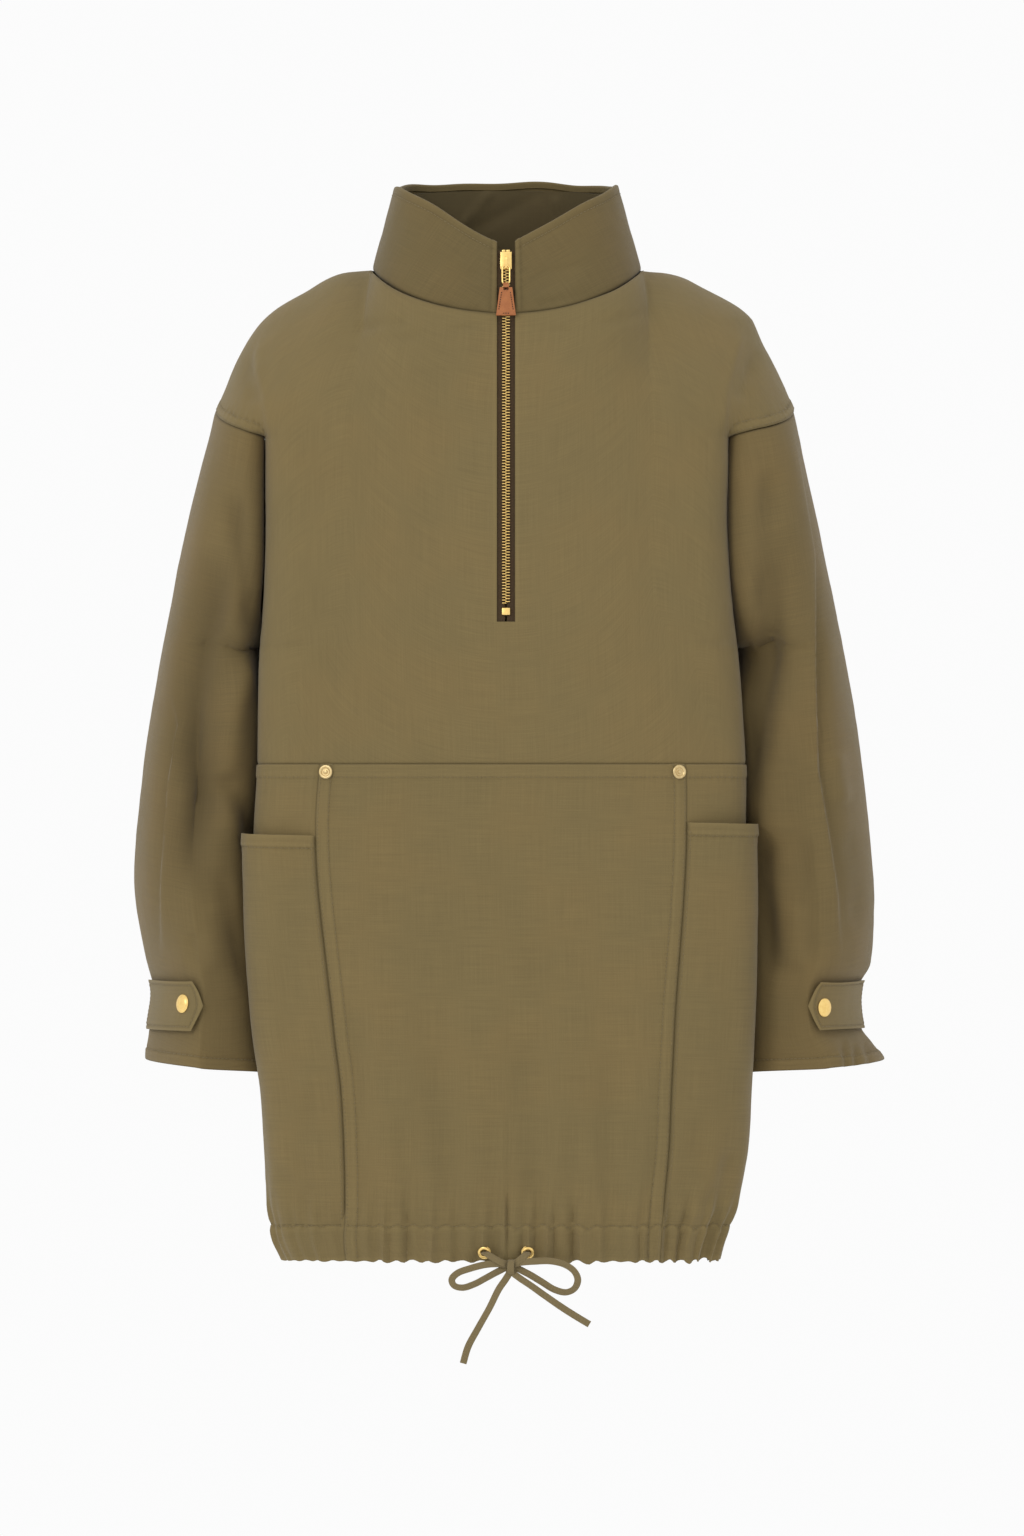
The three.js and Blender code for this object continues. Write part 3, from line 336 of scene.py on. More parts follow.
    def shoulder_seam(self, q: Array) -> Array:
        """The shoulder seam from the neck (0) to the shoulder point (1)."""
        span = self.shoulder - self.neck
        points = np.array([[self.neck, self.neck_side_y, self.neck_side_z],
                           [self.neck + 0.36 * span, -8, -17], [self.neck + 0.66 * span, -9, -36],
                           [self.neck + 0.84 * span, -10, -66],
                           [self.shoulder, self.sleeve_y, self.drop_z]])
        return catmull(points, np.clip(q, 0, 1) * 4, False)

    def yoke(self, face: Face, a: Array, w: Array) -> Array:
        """Above the yoke line: a from the middle to the armhole, w from the line to the top."""
        reach = 3 - self.armhole_s
        s = a * reach
        bottom = self.ring(s if face is Face.FRONT else 6 - s, self.yoke_z)
        q = (s - self.neck_s) / (reach - self.neck_s)
        near = self.neckline(face, np.clip(s / self.neck_s, 0, 1))
        top = np.where((q < 0)[..., None], near, self.shoulder_seam(q))
        chord = np.linalg.norm(top - bottom, axis=-1, keepdims=True)
        up = unit(np.array([0, self.zip_lean if face is Face.FRONT else -0.1, 1.0]))
        flat = smoothstep(s / self.neck_s)[..., None]
        over = np.array([0, -float(face.value), 0])
        lean = np.array([0, self.zip_lean if face is Face.FRONT else -0.1, 1.0])
        arrive = unit(lean * (1 - flat) + over * flat) * chord * (1 - 0.3 * flat)
        point = hermite(bottom, top, up * chord, arrive, w)
        edge = self.ring(reach if face is Face.FRONT else 6 - reach, self.yoke_z)
        side = hermite(np.broadcast_to(edge, point.shape), self.shoulder_seam(np.ones_like(w)),
                       up * chord, arrive, w)
        wanted = self.section(face, 1 - w, self.drop_z
                              + (self.yoke_z - self.drop_z) * np.sin((1 - w) * np.pi / 2))
        moved = point + (wanted - side) * (a ** 6)[..., None]
        return np.where((a >= 1)[..., None], wanted, moved)

    def upper(self, face: Face, a: Array, t: Array, share: float = 0.4) -> Array:
        """Above the waist: a from the middle (0) to the edge (1), t from the top to the waist."""
        a, t = np.broadcast_arrays(np.asarray(a, float), np.asarray(t, float))
        across = np.abs(a)
        high = self.yoke(face, across, np.clip(1 - t / share, 0, 1))
        z = self.yoke_z + (self.waist_z + 0.25 - self.yoke_z) * np.clip((t - share) / (1 - share),
                                                                        0, 1)
        s = across * (3 - self.reach(z))
        low = self.ring(s if face is Face.FRONT else 6 - s, z)
        point = np.where((t < share)[..., None], high, low)
        point[..., 0] *= np.where(a < 0, -1, 1)
        return point

    def collar(self, g: Array, h: Array) -> Array:
        """The collar: g round the neck from the front opening, h from the seam to the edge."""
        g, h = np.broadcast_arrays(np.asarray(g, float), np.asarray(h, float))
        s, c = np.sin(2 * np.pi * g), np.cos(2 * np.pi * g)
        q = np.arccos(np.clip(np.abs(c), 0, 1)) / (np.pi / 2)
        fronts = (c >= 0)[..., None]
        base = np.where(fronts, self.neckline(Face.FRONT, q), self.neckline(Face.BACK, q))
        base[..., 0] *= np.where(s < 0, -1, 1)
        rise = 62.0
        top_z = np.where(c >= 0, self.zip_top_z + (rise - self.zip_top_z) * np.abs(s), rise - 6 * c)
        end_y = np.where(c >= 0, self.zip_plane(top_z), 48.0)
        top_y = end_y + (-18 - end_y) * (1 - np.abs(c)) ** self.neck_flatness
        top = triple(88 * s, top_y, top_z)
        h = h[..., None]
        return base * (1 - h) + top * h


FORM = Form()


class Outline:
    """Moves the even form sideways to the worn one, which is not quite the same on both sides."""

    def __init__(self) -> None:
        """Keeps, for each side, how far the fold edge and the sleeve's outer edge lie out."""
        self.fold = {
            1: Rows([[-41, 3], [-65, -4], [-100, -9], [-139, -10], [-232, -14], [-342, -7],
                     [-392, -4],
                     [-439, -4.7], [-521, -5], [-646, -6.6], [-693, -6.3], [-739, -10], [-763, -12],
                     [-780, -12]]),
            -1: Rows([[-41, 0], [-65, 2], [-133, 5], [-233, 1], [-300, 2], [-342, 3], [-392, 3],
                      [-445, 5],
                      [-521, 3], [-599, -2], [-646, -6.6], [-693, -7], [-739, -5], [-763, -2],
                      [-780, -4]])}
        self.ridge = {
            1: Rows([[-60, 0], [-114, -1], [-178, 0], [-271, 1], [-365, 1], [-459, 0], [-505, 4],
                     [-548, 7], [-566, -1], [-600, -1], [-612, 7], [-624, 15], [-640, 17]]),
            -1: Rows([[-60, 1], [-114, 5], [-178, 6], [-271, 6], [-365, 6], [-459, 5], [-505, 4],
                      [-552, 1], [-570, -2], [-599, 0], [-640, 0]])}

    def moved(self, p: Array) -> Array:
        """Points in their worn place."""
        out = p.copy()
        x, z = p[..., 0], p[..., 2]
        far = np.abs(x)
        inner = smoothstep((far - 60) / 115) * (1 - smoothstep((far - 192) / 36))
        outer = smoothstep((far - 205) / 50)
        out[..., 2] += 5 * np.exp(-((far - 130) / 22) ** 2) * smoothstep((z + 75) / 40)
        for sign in (1, -1):
            here = x * sign > 0
            shift = self.fold[sign].at(z)[..., 0] * inner + self.ridge[sign].at(z)[..., 0] * outer
            out[..., 0] += np.where(here, sign * shift, 0)
        return out


OUTLINE = Outline()


# ---- Finishes -----------------------------------------------------------------------------


def linear(red: int, green: int, blue: int) -> tuple[float, float, float, float]:
    """A linear colour from 8-bit display values."""
    def one(c: int) -> float:
        v = c / 255
        return v / 12.92 if v <= 0.04045 else ((v + 0.055) / 1.055) ** 2.4
    return (one(red), one(green), one(blue), 1.0)


class Wire:
    """A node socket whose arithmetic adds Math nodes."""

    def __init__(self, tree: "Dye", socket: object) -> None:
        """Holds a socket of a tree."""
        self.tree = tree
        self.socket = socket

    def _maths(self, operation: str, *values: object) -> "Wire":
        """One Math node on this value and others."""
        return self.tree.node("ShaderNodeMath", {"operation": operation}, *values)

    def __add__(self, other: object) -> "Wire":
        """The sum."""
        return self._maths("ADD", self, other)

    def __mul__(self, other: object) -> "Wire":
        """The product."""
        return self._maths("MULTIPLY", self, other)

    def __sub__(self, other: object) -> "Wire":
        """The difference."""
        return self._maths("SUBTRACT", self, other)

    def __rsub__(self, other: object) -> "Wire":
        """The difference from another value."""
        return self._maths("SUBTRACT", other, self)

    def __truediv__(self, other: object) -> "Wire":
        """The quotient."""
        return self._maths("DIVIDE", self, other)

    def __pow__(self, other: object) -> "Wire":
        """The power."""
        return self._maths("POWER", self, other)

    __radd__ = __add__
    __rmul__ = __mul__

    def wave(self) -> "Wire":
        """The sine, moved to lie from 0 to 1."""
        return self._maths("SINE", self) * 0.5 + 0.5

    def most(self, other: object) -> "Wire":
        """The larger of two values."""
        return self._maths("MAXIMUM", self, other)

    def between(self, low: float, high: float) -> "Wire":
        """A smooth rise from 0 at low to 1 at high."""
        return self.tree.node("ShaderNodeMapRange", {"interpolation_type": "SMOOTHSTEP"},
                              Value=self, From_Min=low, From_Max=high)


class Dye:
    """Builds one material's nodes."""

    def __init__(self, name: str) -> None:
        """Starts a material with its shader and output."""
        self.material = bpy.data.materials.new(name)
        self.material.use_nodes = True
        self.nodes = self.material.node_tree.nodes
        self.links = self.material.node_tree.links
        self.shader = next(n for n in self.nodes if n.type == "BSDF_PRINCIPLED")

    def node(self, kind: str, settings: dict | None = None, *values: object, output: int = 0,
             **inputs: object) -> Wire:
        """Adds a node.

        Args:
            kind: The node's type.
            settings: Properties to set first.
            values: Values or wires for the sockets in order.
            output: Which output the wire is from.
            inputs: Values or wires by socket name, spaces as underscores.

        Returns:
            The wire of the chosen output.
        """
        made = self.nodes.new(kind)
        for key, value in (settings or {}).items():
            if key == "stops":
                ramp = made.color_ramp
                while len(ramp.elements) < len(value):
                    ramp.elements.new(1.0)
                for element, (place, colour) in zip(ramp.elements, value):
                    element.position, element.color = place, colour
            else:
                setattr(made, key, value)
        pairs = list(enumerate(values)) + [(k.replace("_", " "), v) for k, v in inputs.items()]
        for key, value in pairs:
            self.join(value, made.inputs[key])
        return Wire(self, made.outputs[output])

    def join(self, value: object, socket: object) -> None:
        """Links a wire to a socket, or sets the socket's own value."""
        if isinstance(value, Wire):
            self.links.new(value.socket, socket)
        else:
            socket.default_value = value

    def mix(self, share: object, first: object, second: object, blend: str = "MIX") -> Wire:
        """A colour between two, or one blended with another."""
        made = self.nodes.new("ShaderNodeMix")
        made.data_type, made.blend_type = "RGBA", blend
        for key, value in ((0, share), (6, first), (7, second)):
            self.join(value, made.inputs[key])
        return Wire(self, made.outputs[2])

    def scaled(self, vector: Wire, scale: tuple[float, float, float]) -> Wire:
        """A vector with each part multiplied."""
        return self.node("ShaderNodeVectorMath", {"operation": "MULTIPLY"}, vector, scale)

    def parts(self, vector: Wire) -> list[Wire]:
        """The three parts of a vector."""
        first = self.node("ShaderNodeSeparateXYZ", None, vector)
        return [Wire(self, output) for output in first.socket.node.outputs]

    def noise(self, vector: Wire, scale: float, detail: float = 2.0, rough: float = 0.5) -> Wire:
        """Noise from 0 to 1."""
        return self.node("ShaderNodeTexNoise", None, Vector=vector, Scale=scale, Detail=detail,
                         Roughness=rough)

    def place(self) -> Wire:
        """The point on the object, in its own frame."""
        return self.node("ShaderNodeTexCoord", None, output=3)

    def cloth_place(self) -> Wire:
        """The point on the flat cloth, in metres."""
        return self.node("ShaderNodeUVMap", {"uv_map": "cloth"})

    def attribute(self, name: str) -> Wire:
        """A value stored on the mesh."""
        return self.node("ShaderNodeAttribute", {"attribute_name": name}, output=2)

    def finish(self, colour: object, rough: object, height: Wire | None = None,
               depth: float = 0.001, **fixed: object) -> bpy.types.Material:
        """Joins colour, roughness and relief to the shader.

        Args:
            colour: The base colour.
            rough: The roughness.
            height: The relief from 0 to 1.
            depth: The relief's depth in metres.
            fixed: Even values set on the shader's own sockets, spaces as underscores.

        Returns:
            The material.
        """
        self.join(colour, self.shader.inputs["Base Color"])
        self.join(rough, self.shader.inputs["Roughness"])
        if height is not None:
            bump = self.node("ShaderNodeBump", None, Height=height, Distance=depth, Strength=1.0)
            self.join(bump, self.shader.inputs["Normal"])
        for key, value in fixed.items():
            self.shader.inputs[key.replace("_", " ")].default_value = value
        return self.material


@dataclass(frozen=True)
class WovenCloth:
    """Plain weave of cotton and linen with uneven weft threads."""

    name: str
    colour: tuple[int, int, int]
    thread: float = 0.00052
    slub: float = 0.10
    shade: float = 1.0

    def dye(self) -> bpy.types.Material:
        """The cloth's material."""
        d = Dye(self.name)
        place, body = d.cloth_place(), d.place()
        across, along, _ = d.parts(place)
        turns = 2 * math.pi / self.thread
        drift = d.noise(d.scaled(place, (90, 90, 1)), 1.0, 1.0)
        warp = (across * turns + drift * 2.2).wave()
        weft = (along * turns + drift * 2.2).wave()
        over = ((across * (turns / 2)).wave() - 0.5) * ((along * (turns / 2)).wave() - 0.5)
        weave = (warp * 0.5 + weft * 0.5) * (over.between(-0.12, 0.12) * 0.35 + 0.65)
        streak = d.noise(d.scaled(place, (28, 1500, 1)), 1.0, 3.0, 0.62)
        upright = d.noise(d.scaled(place, (1300, 22, 1)), 1.0, 2.0, 0.55)
        cloudy = d.noise(body, 14.0, 3.0, 0.55)
        fine = d.noise(place, 900.0, 2.0)
        base = linear(*self.colour)
        light = tuple(min(c * 1.24, 1) for c in base[:3]) + (1.0,)
        dark = tuple(c * 0.74 for c in base[:3]) + (1.0,)
        warm = (base[0] * 1.05, base[1] * 0.985, base[2] * 0.93, 1.0)
        thread = (streak - 0.5) * 2.0 + (upright - 0.5) * 1.1 + (fine - 0.5) * 0.5
        shade = thread * self.slub * 2.2 + (weave - 0.5) * 0.34 + (cloudy - 0.5) * 0.22 + 0.5
        colour = d.mix(shade.between(-0.1, 1.1), dark, light)
        colour = d.mix(cloudy.between(0.35, 0.7) * 0.5, colour,
                       d.mix(1.0, colour,
                             (warm[0] / base[0], warm[1] / base[1], warm[2] / base[2], 1),
                             "MULTIPLY"))
        # painted shade: the stored value darkens the cloth in seam and stitch grooves, on the band
        # tucked under at the waist and in fold valleys
        seam = d.attribute("seam")
        wear = d.attribute("wear")
        colour = d.mix(seam * 0.62, colour, tuple(c * 0.42 for c in base[:3]) + (1.0,))
        colour = d.mix(wear * (fine * 0.5 + 0.25), colour,
                       tuple(min(c * 1.5, 1) for c in base[:3]) + (1.0,))
        height = weave * 0.5 + streak * 0.34 + upright * 0.16
        rough = 0.86 + (streak - 0.5) * 0.14 - wear * 0.05
        return d.finish(colour, rough, height, 0.00016, Sheen_Weight=0.12, Sheen_Roughness=0.45,
                        Specular_IOR_Level=0.28)


@dataclass(frozen=True)
class Thread:
    """Sewing thread: two plies twisted along the stitch."""

    name: str
    colour: tuple[int, int, int]

    def dye(self) -> bpy.types.Material:
        """The thread's material."""
        d = Dye(self.name)
        place = d.place()
        x, y, z = d.parts(place)
        twist = ((x + y + z) * 9000.0).wave()
        fuzz = d.noise(place, 1800.0, 2.0)
        base = linear(*self.colour)
        colour = d.mix(twist * 0.5 + fuzz * 0.3, tuple(c * 0.72 for c in base[:3]) + (1.0,), base)
        return d.finish(colour, 0.62 + fuzz * 0.2, twist, 0.00008, Sheen_Weight=0.15,
                        Specular_IOR_Level=0.35)


@dataclass(frozen=True)
class Metal:
    """Plated metal with a soft brushed unevenness, duller and darker in noisy patches."""

    name: str
    colour: tuple[int, int, int]
    rough: float = 0.24

    def dye(self) -> bpy.types.Material:
        """The metal's material."""
        d = Dye(self.name)
        place = d.place()
        cloud = d.noise(place, 420.0, 3.0)
        brush = d.noise(d.scaled(place, (3000, 3000, 500)), 1.0, 2.0)
        scratch = d.noise(d.scaled(place, (600, 9000, 4000)), 1.0, 2.0, 0.6).between(0.62, 0.74)
        base = linear(*self.colour)
        colour = d.mix(cloud.between(0.3, 0.75) * 0.45, base,
                       (base[0] * 0.82, base[1] * 0.72, base[2] * 0.55, 1.0))
        rough = self.rough + cloud * 0.12 + scratch * 0.14 + brush * 0.05
        return d.finish(colour, rough, brush * 0.6 + cloud * 0.4 - scratch * 0.3, 0.00003,
                        Metallic=1.0)


@dataclass(frozen=True)
class Leather:
    """Smooth tan leather with fine pores, darker and glossier along its edges."""

    name: str
    colour: tuple[int, int, int]

    def dye(self) -> bpy.types.Material:
        """The leather's material."""
        d = Dye(self.name)
        place = d.place()
        grain = d.node("ShaderNodeTexVoronoi", {"feature": "DISTANCE_TO_EDGE"}, Vector=place,
                       Scale=1500.0)
        fold = d.noise(place, 700.0, 4.0, 0.6)
        cloud = d.noise(place, 160.0, 2.0)
        wear = d.attribute("wear")
        base = linear(*self.colour)
        dark = (base[0] * 0.62, base[1] * 0.5, base[2] * 0.42, 1.0)
        colour = d.mix(cloud.between(0.3, 0.75) * 0.35, base, dark)
        colour = d.mix(grain.between(0.0, 0.05) * -0.35 + 0.35, colour, dark)
        colour = d.mix(wear * 0.75, colour, dark)
        return d.finish(colour, 0.5 + fold * 0.16 - wear * 0.12,
                        grain.between(0.0, 0.12) * 0.7 + fold * 0.3,
                        0.00012, Specular_IOR_Level=0.45)


@dataclass(frozen=True)
class HerringboneTape:
    """Dark zip tape: slanted ribs that turn back every few millimetres."""

    name: str
    colour: tuple[int, int, int]

    def dye(self) -> bpy.types.Material:
        """The tape's material."""
        d = Dye(self.name)
        place = d.cloth_place()
        across, along, _ = d.parts(place)
        zigzag = d.node("ShaderNodeMath", {"operation": "PINGPONG"}, across, 0.0016)
        rib = ((along + zigzag) * (2 * math.pi / 0.0009)).wave()
        cord = (across * (2 * math.pi / 0.00055)).wave()
        fuzz = d.noise(place, 1400.0, 3.0)
        base = linear(*self.colour)
        shade = rib * 0.5 + cord * 0.2 + fuzz * 0.3
        colour = d.mix(shade.between(0.15, 0.85), tuple(c * 0.5 for c in base[:3]) + (1.0,),
                       tuple(min(1.0, c * 1.55) for c in base[:3]) + (1.0,))
        return d.finish(colour, 0.72 + fuzz * 0.15, rib * 0.6 + cord * 0.4, 0.00018,
                        Sheen_Weight=0.1, Specular_IOR_Level=0.3)


@dataclass(frozen=True)
class WovenCord:
    """Flat cord with a braided face."""

    name: str
    colour: tuple[int, int, int]

    def dye(self) -> bpy.types.Material:
        """The cord's material."""
        d = Dye(self.name)
        place = d.cloth_place()
        across, along, _ = d.parts(place)
        one = ((along + across * 0.8) * (2 * math.pi / 0.0014)).wave()
        two = ((along - across * 0.8) * (2 * math.pi / 0.0014)).wave()
        fuzz = d.noise(place, 1500.0, 3.0)
        cloud = d.noise(d.place(), 60.0, 2.0)
        base = linear(*self.colour)
        weave = one.most(two)
        shade = weave * 0.55 + fuzz * 0.3 + cloud * 0.15
        colour = d.mix(shade.between(0.1, 1.0), tuple(c * 0.6 for c in base[:3]) + (1.0,),
                       tuple(min(1.0, c * 1.15) for c in base[:3]) + (1.0,))
        return d.finish(colour, 0.82 + fuzz * 0.1, weave, 0.0002, Sheen_Weight=0.15,
                        Specular_IOR_Level=0.28)


@dataclass(frozen=True)
class StudioPaper:
    """Seamless pale paper."""

    name: str = "studio_paper"

    def dye(self) -> bpy.types.Material:
        """The paper's material."""
        d = Dye(self.name)
        grain = d.noise(d.place(), 40.0, 2.0)
        colour = d.mix(grain, (0.93, 0.93, 0.93, 1), (0.96, 0.96, 0.96, 1))
        return d.finish(colour, 0.9 + grain * 0.05)


class Wardrobe:
    """All finishes of the jacket, made once and shared."""

    def __init__(self) -> None:
        """Makes every material."""
        self.cloth = WovenCloth("olive_weave", (115, 100, 64), slub=0.17).dye()
        # painted shade: the sleeves use the same weave dyed darker, for sleeves turned away from
        # the light
        self.sleeve = WovenCloth("olive_weave_sleeve_shaded", (109, 93, 58), slub=0.17).dye()
        # painted shade: the collar uses the same weave dyed darker, for its shaded standing cloth
        self.collar = WovenCloth("olive_weave_collar_shaded", (101, 87, 54), slub=0.17).dye()
        # painted shade: the inside pieces use the same weave dyed darker still, for the shade
        # inside the garment
        self.inside = WovenCloth("olive_weave_inside_shaded", (82, 71, 45), slub=0.08).dye()
        self.thread = Thread("olive_thread", (124, 108, 72)).dye()
        self.dark_thread = Thread("brown_thread", (58, 28, 16)).dye()
        self.gold = Metal("gold_plate", (250, 216, 138), 0.26).dye()
        self.pale = Metal("pale_gold_satin", (214, 192, 144), 0.34).dye()
        self.leather = Leather("tan_leather", (172, 106, 58)).dye()
        self.tape = HerringboneTape("brown_zip_tape", (62, 46, 25)).dye()
        self.cord = WovenCord("olive_braid", (122, 107, 74)).dye()


# ---- Folds and cut pieces of cloth --------------------------------------------------------


def line_distance(x: Array, z: Array, path: Sequence[tuple[float, float]]) -> tuple[Array, Array]:
    """How far points lie from a line, and how far along it.

    Args:
        x: Across.
        z: Height.
        path: Corners of the line, as (x, z).

    Returns:
        The signed distance, above 0 to the right of the line as it runs down, and the share
        of its length from 0 to 1.
    """
    corners = np.array(path, float)
    lengths = np.linalg.norm(np.diff(corners, axis=0), axis=1)
    before = np.r_[0, np.cumsum(lengths)]
    best = np.full(np.shape(x), 1e9)
    signed, share = np.zeros(np.shape(x)), np.zeros(np.shape(x))
    for i, length in enumerate(lengths):
        (ax, az), (bx, bz) = corners[i], corners[i + 1]
        dx, dz = (bx - ax) / length, (bz - az) / length
        along = np.clip((x - ax) * dx + (z - az) * dz, 0, length)
        ox, oz = x - ax - dx * along, z - az - dz * along
        gap = np.hypot(ox, oz)
        near = gap < best
        best = np.where(near, gap, best)
        signed = np.where(near, gap * np.where(oz * dx - ox * dz >= 0, 1, -1), signed)
        share = np.where(near, (before[i] + along) / before[-1], share)
    return signed, share


@dataclass(frozen=True)
class Crease:
    """A fold line: a valley where depth is above 0, a ridge where it is below."""

    path: tuple[tuple[float, float], ...]
    depth: float
    width: float
    other: float = 0.0

    def height(self, x: Array, z: Array) -> Array:
        """How far the cloth stands out at (x, z)."""
        gap, share = line_distance(x, z, self.path)
        width = np.where(gap >= 0, self.width, self.other or self.width)
        ends = smoothstep(share / 0.22) * smoothstep((1 - share) / 0.22)
        wander = 1 + 0.25 * np.sin(share * 9.0 + self.path[0][0])
        return -self.depth * wander * ends * np.exp(-(gap / width) ** 2)


def fold_over(path: Sequence[tuple[float, float]], drop: float, side: int) -> list[Crease]:
    """A long edge that overhangs the cloth beyond it: a soft ridge and a sharp valley."""
    line = tuple(path)
    beyond = tuple((x + side * 3.0, z) for x, z in line)
    wide, tight = (drop * 2.6, 1.6), (1.8, drop * 2.0)
    if side < 0:
        wide, tight = wide[::-1], tight[::-1]
    return [Crease(beyond, drop, *wide), Crease(line, -drop * 0.55, *tight)]


def facing_share(depthwise: Array) -> Array:
    """How far cloth counts as facing one way, from 0 for edge-on to 1."""
    return np.clip(depthwise * FACING_GAIN, 0, 1)


def drape(p: Array, normal: Array, creases: Sequence[Crease], back: Sequence[Crease] = ()) -> Array:
    """How the hanging cloth stands off its even form.

    Args:
        p: Points.
        normal: Outward normals.
        creases: Fold lines of the front.
        back: Fold lines of the back.

    Returns:
        Heights along the normals, in millimetres.
    """
    tall = p * np.array([1.0, 1.0, 0.33])
    height = 1.0 * lattice_noise(tall, 62, 1) + 0.42 * lattice_noise(p * [1, 1, 0.7], 26, 2)
    height = height + 0.12 * lattice_noise(p, 9, 3)
    front, behind = facing_share(-normal[..., 1]), facing_share(normal[..., 1])
    for crease in creases:
        height = height + crease.height(p[..., 0], p[..., 2]) * front
    for crease in back:
        height = height + crease.height(p[..., 0], p[..., 2]) * behind
    return height


class Edge(Enum):
    """The four edges of a cut piece."""

    LEFT = "left"
    RIGHT = "right"
    TOP = "top"
    BOTTOM = "bottom"


def stations(count: int, ends: bool = True, extra: Sequence[float] = ()) -> Array:
    """Places from 0 to 1, closer together at both ends and at given places."""
    places = [np.linspace(0, 1, count)]
    if ends:
        tight = np.array([0.0022, 0.0052, 0.009, 0.0145]) * 110 / count
        places += [tight, 1 - tight]
    for at in extra:
        places.append(at + np.array([-0.8, -0.4, 0.0, 0.4, 0.8]) / count)
    merged = np.unique(np.round(np.clip(np.concatenate(places), 0, 1), 6))
    keep = np.r_[True, np.diff(merged) > 0.12 / count]
    keep[-1] = True
    return merged[keep]


class Panel:
    """One cut piece of cloth as a grid of points: rows run down, columns across."""

    def __init__(self, name: str, points: Array, centre: Callable[[Array], Array],
                 wrap: bool = False) -> None:
        """Keeps the form of a piece before its folds.

        Args:
            name: The piece's name.
            points: Points in millimetres, shape (rows, columns, 3).
            centre: Gives for points a place inside the garment, to tell out from in.
            wrap: Whether the last column joins the first.
        """
        self.name = name
        self.points = points
        self.centre = centre
        self.wrap = wrap
        step = np.linalg.norm(np.diff(points, axis=1), axis=-1)
        self.across = np.concatenate([np.zeros((len(points), 1)), np.cumsum(step, axis=1)], axis=1)
        step = np.linalg.norm(np.diff(points, axis=0), axis=-1)
        self.along = np.concatenate([np.zeros((1, points.shape[1])), np.cumsum(step, axis=0)],
                                    axis=0)
        self.flip = False
        self.normal = self._normals()
        self.height = np.zeros(points.shape[:2])
        # painted shade from 0 to 1: grooves, tucks and fold valleys darkened in the cloth's colour
        self.seam = np.zeros(points.shape[:2])
        self.wear = np.zeros(points.shape[:2])
        self.hole = np.zeros((points.shape[0] - 1, points.shape[1] - (0 if wrap else 1)), bool)

    def _normals(self) -> Array:
        """Outward normals of the grid as it stands."""
        if self.wrap:
            wide = np.concatenate([self.points[:, -1:], self.points, self.points[:, :1]], axis=1)
            across = wide[:, 2:] - wide[:, :-2]
        else:
            across = np.gradient(self.points, axis=1)
        normal = unit(np.cross(across, np.gradient(self.points, axis=0)))
        out = self.points - self.centre(self.points)
        self.flip = bool(np.mean(np.sum(normal * out, axis=-1)) < 0)
        return -normal if self.flip else normal

    def distance(self, edge: Edge) -> Array:
        """How far each point lies from an edge, over the cloth."""
        return {Edge.LEFT: self.across, Edge.RIGHT: self.across[:, -1:] - self.across,
                Edge.TOP: self.along, Edge.BOTTOM: self.along[-1:] - self.along}[edge]

    def roll(self, edge: Edge, depth: float = 0.9, reach: float = 1.5) -> None:
        """Turns an edge in at a seam and paints shade into the groove."""
        gap = self.distance(edge)
        self.height = self.height - depth * np.exp(-gap / reach)
        # painted shade in the groove where the edge turns in
        self.seam = np.maximum(self.seam, np.exp(-(gap / (reach * 0.8)) ** 2))

    def strip(self, edge: Edge, width: float, rise: float = 0.7,
              share: Array | float = 1.0) -> None:
        """Raises the doubled cloth between an edge and a stitch line, with puckers."""
        gap = self.distance(edge)
        inside = smoothstep((width + 0.9 - gap) / 1.8)
        run = self.along if edge in (Edge.LEFT, Edge.RIGHT) else self.across
        pucker = 0.28 * np.sin(run * 2 * np.pi / 6.3 + 2.2 * np.sin(run / 17)) * np.exp(
            -((gap - width) / 4.5) ** 2)
        groove = 0.5 * np.exp(-((gap - width) / 0.75) ** 2)
        self.height = self.height + share * (rise * inside - groove + pucker)
        # painted shade along the sunk stitch line
        self.seam = np.maximum(self.seam, share * 0.38 * np.exp(-((gap - width) / 0.8) ** 2))
        lip = np.exp(-((gap - width + 2.4) / 1.6) ** 2) + np.exp(-((gap - 1.8) / 1.3) ** 2)
        self.wear = np.maximum(self.wear, share * 0.3 * lip)

    def settle(self) -> None:
        """Moves the points by the height and works out the normals again."""
        self.points = self.points + self.normal * self.height[..., None]
        self.normal = self._normals()

    def pick(self, row: Array, column: Array) -> tuple[Array, Array]:
        """Points and normals at broken row and column numbers."""
        rows, columns = self.points.shape[:2]
        i = np.clip(np.floor(row).astype(int), 0, rows - 2)
        j = np.clip(np.floor(column).astype(int), 0, columns - 2)
        a, b = (row - i)[:, None], (column - j)[:, None]

        def mixed(grid: Array) -> Array:
            top = grid[i, j] * (1 - b) + grid[i, j + 1] * b
            low = grid[i + 1, j] * (1 - b) + grid[i + 1, j + 1] * b
            return top * (1 - a) + low * a

        return mixed(self.points), unit(mixed(self.normal))

    def line(self, edge: Edge, gap: float, start: float = 0.0, end: float = 1.0) -> tuple[Array,
                                                                                          Array]:
        """A line that keeps its distance from an edge.

        Args:
            edge: The edge.
            gap: How far from it, in millimetres.
            start: Where the line starts, as a share of the edge.
            end: Where it ends.

        Returns:
            Points and normals along the line.
        """
        away = self.distance(edge)
        rows, columns = self.points.shape[:2]
        if edge in (Edge.LEFT, Edge.RIGHT):
            run = np.arange(round(start * (rows - 1)), round(end * (rows - 1)) + 1)
            order = slice(None) if edge is Edge.LEFT else slice(None, None, -1)
            count = np.arange(columns)[order]
            column = np.array([np.interp(gap, away[i][order], count) for i in run])
            return self.pick(run.astype(float), column)
        run = np.arange(round(start * (columns - 1)), round(end * (columns - 1)) + 1)
        order = slice(None) if edge is Edge.TOP else slice(None, None, -1)
        count = np.arange(rows)[order]
        row = np.array([np.interp(gap, away[order, j], count) for j in run])
        return self.pick(row, run.astype(float))

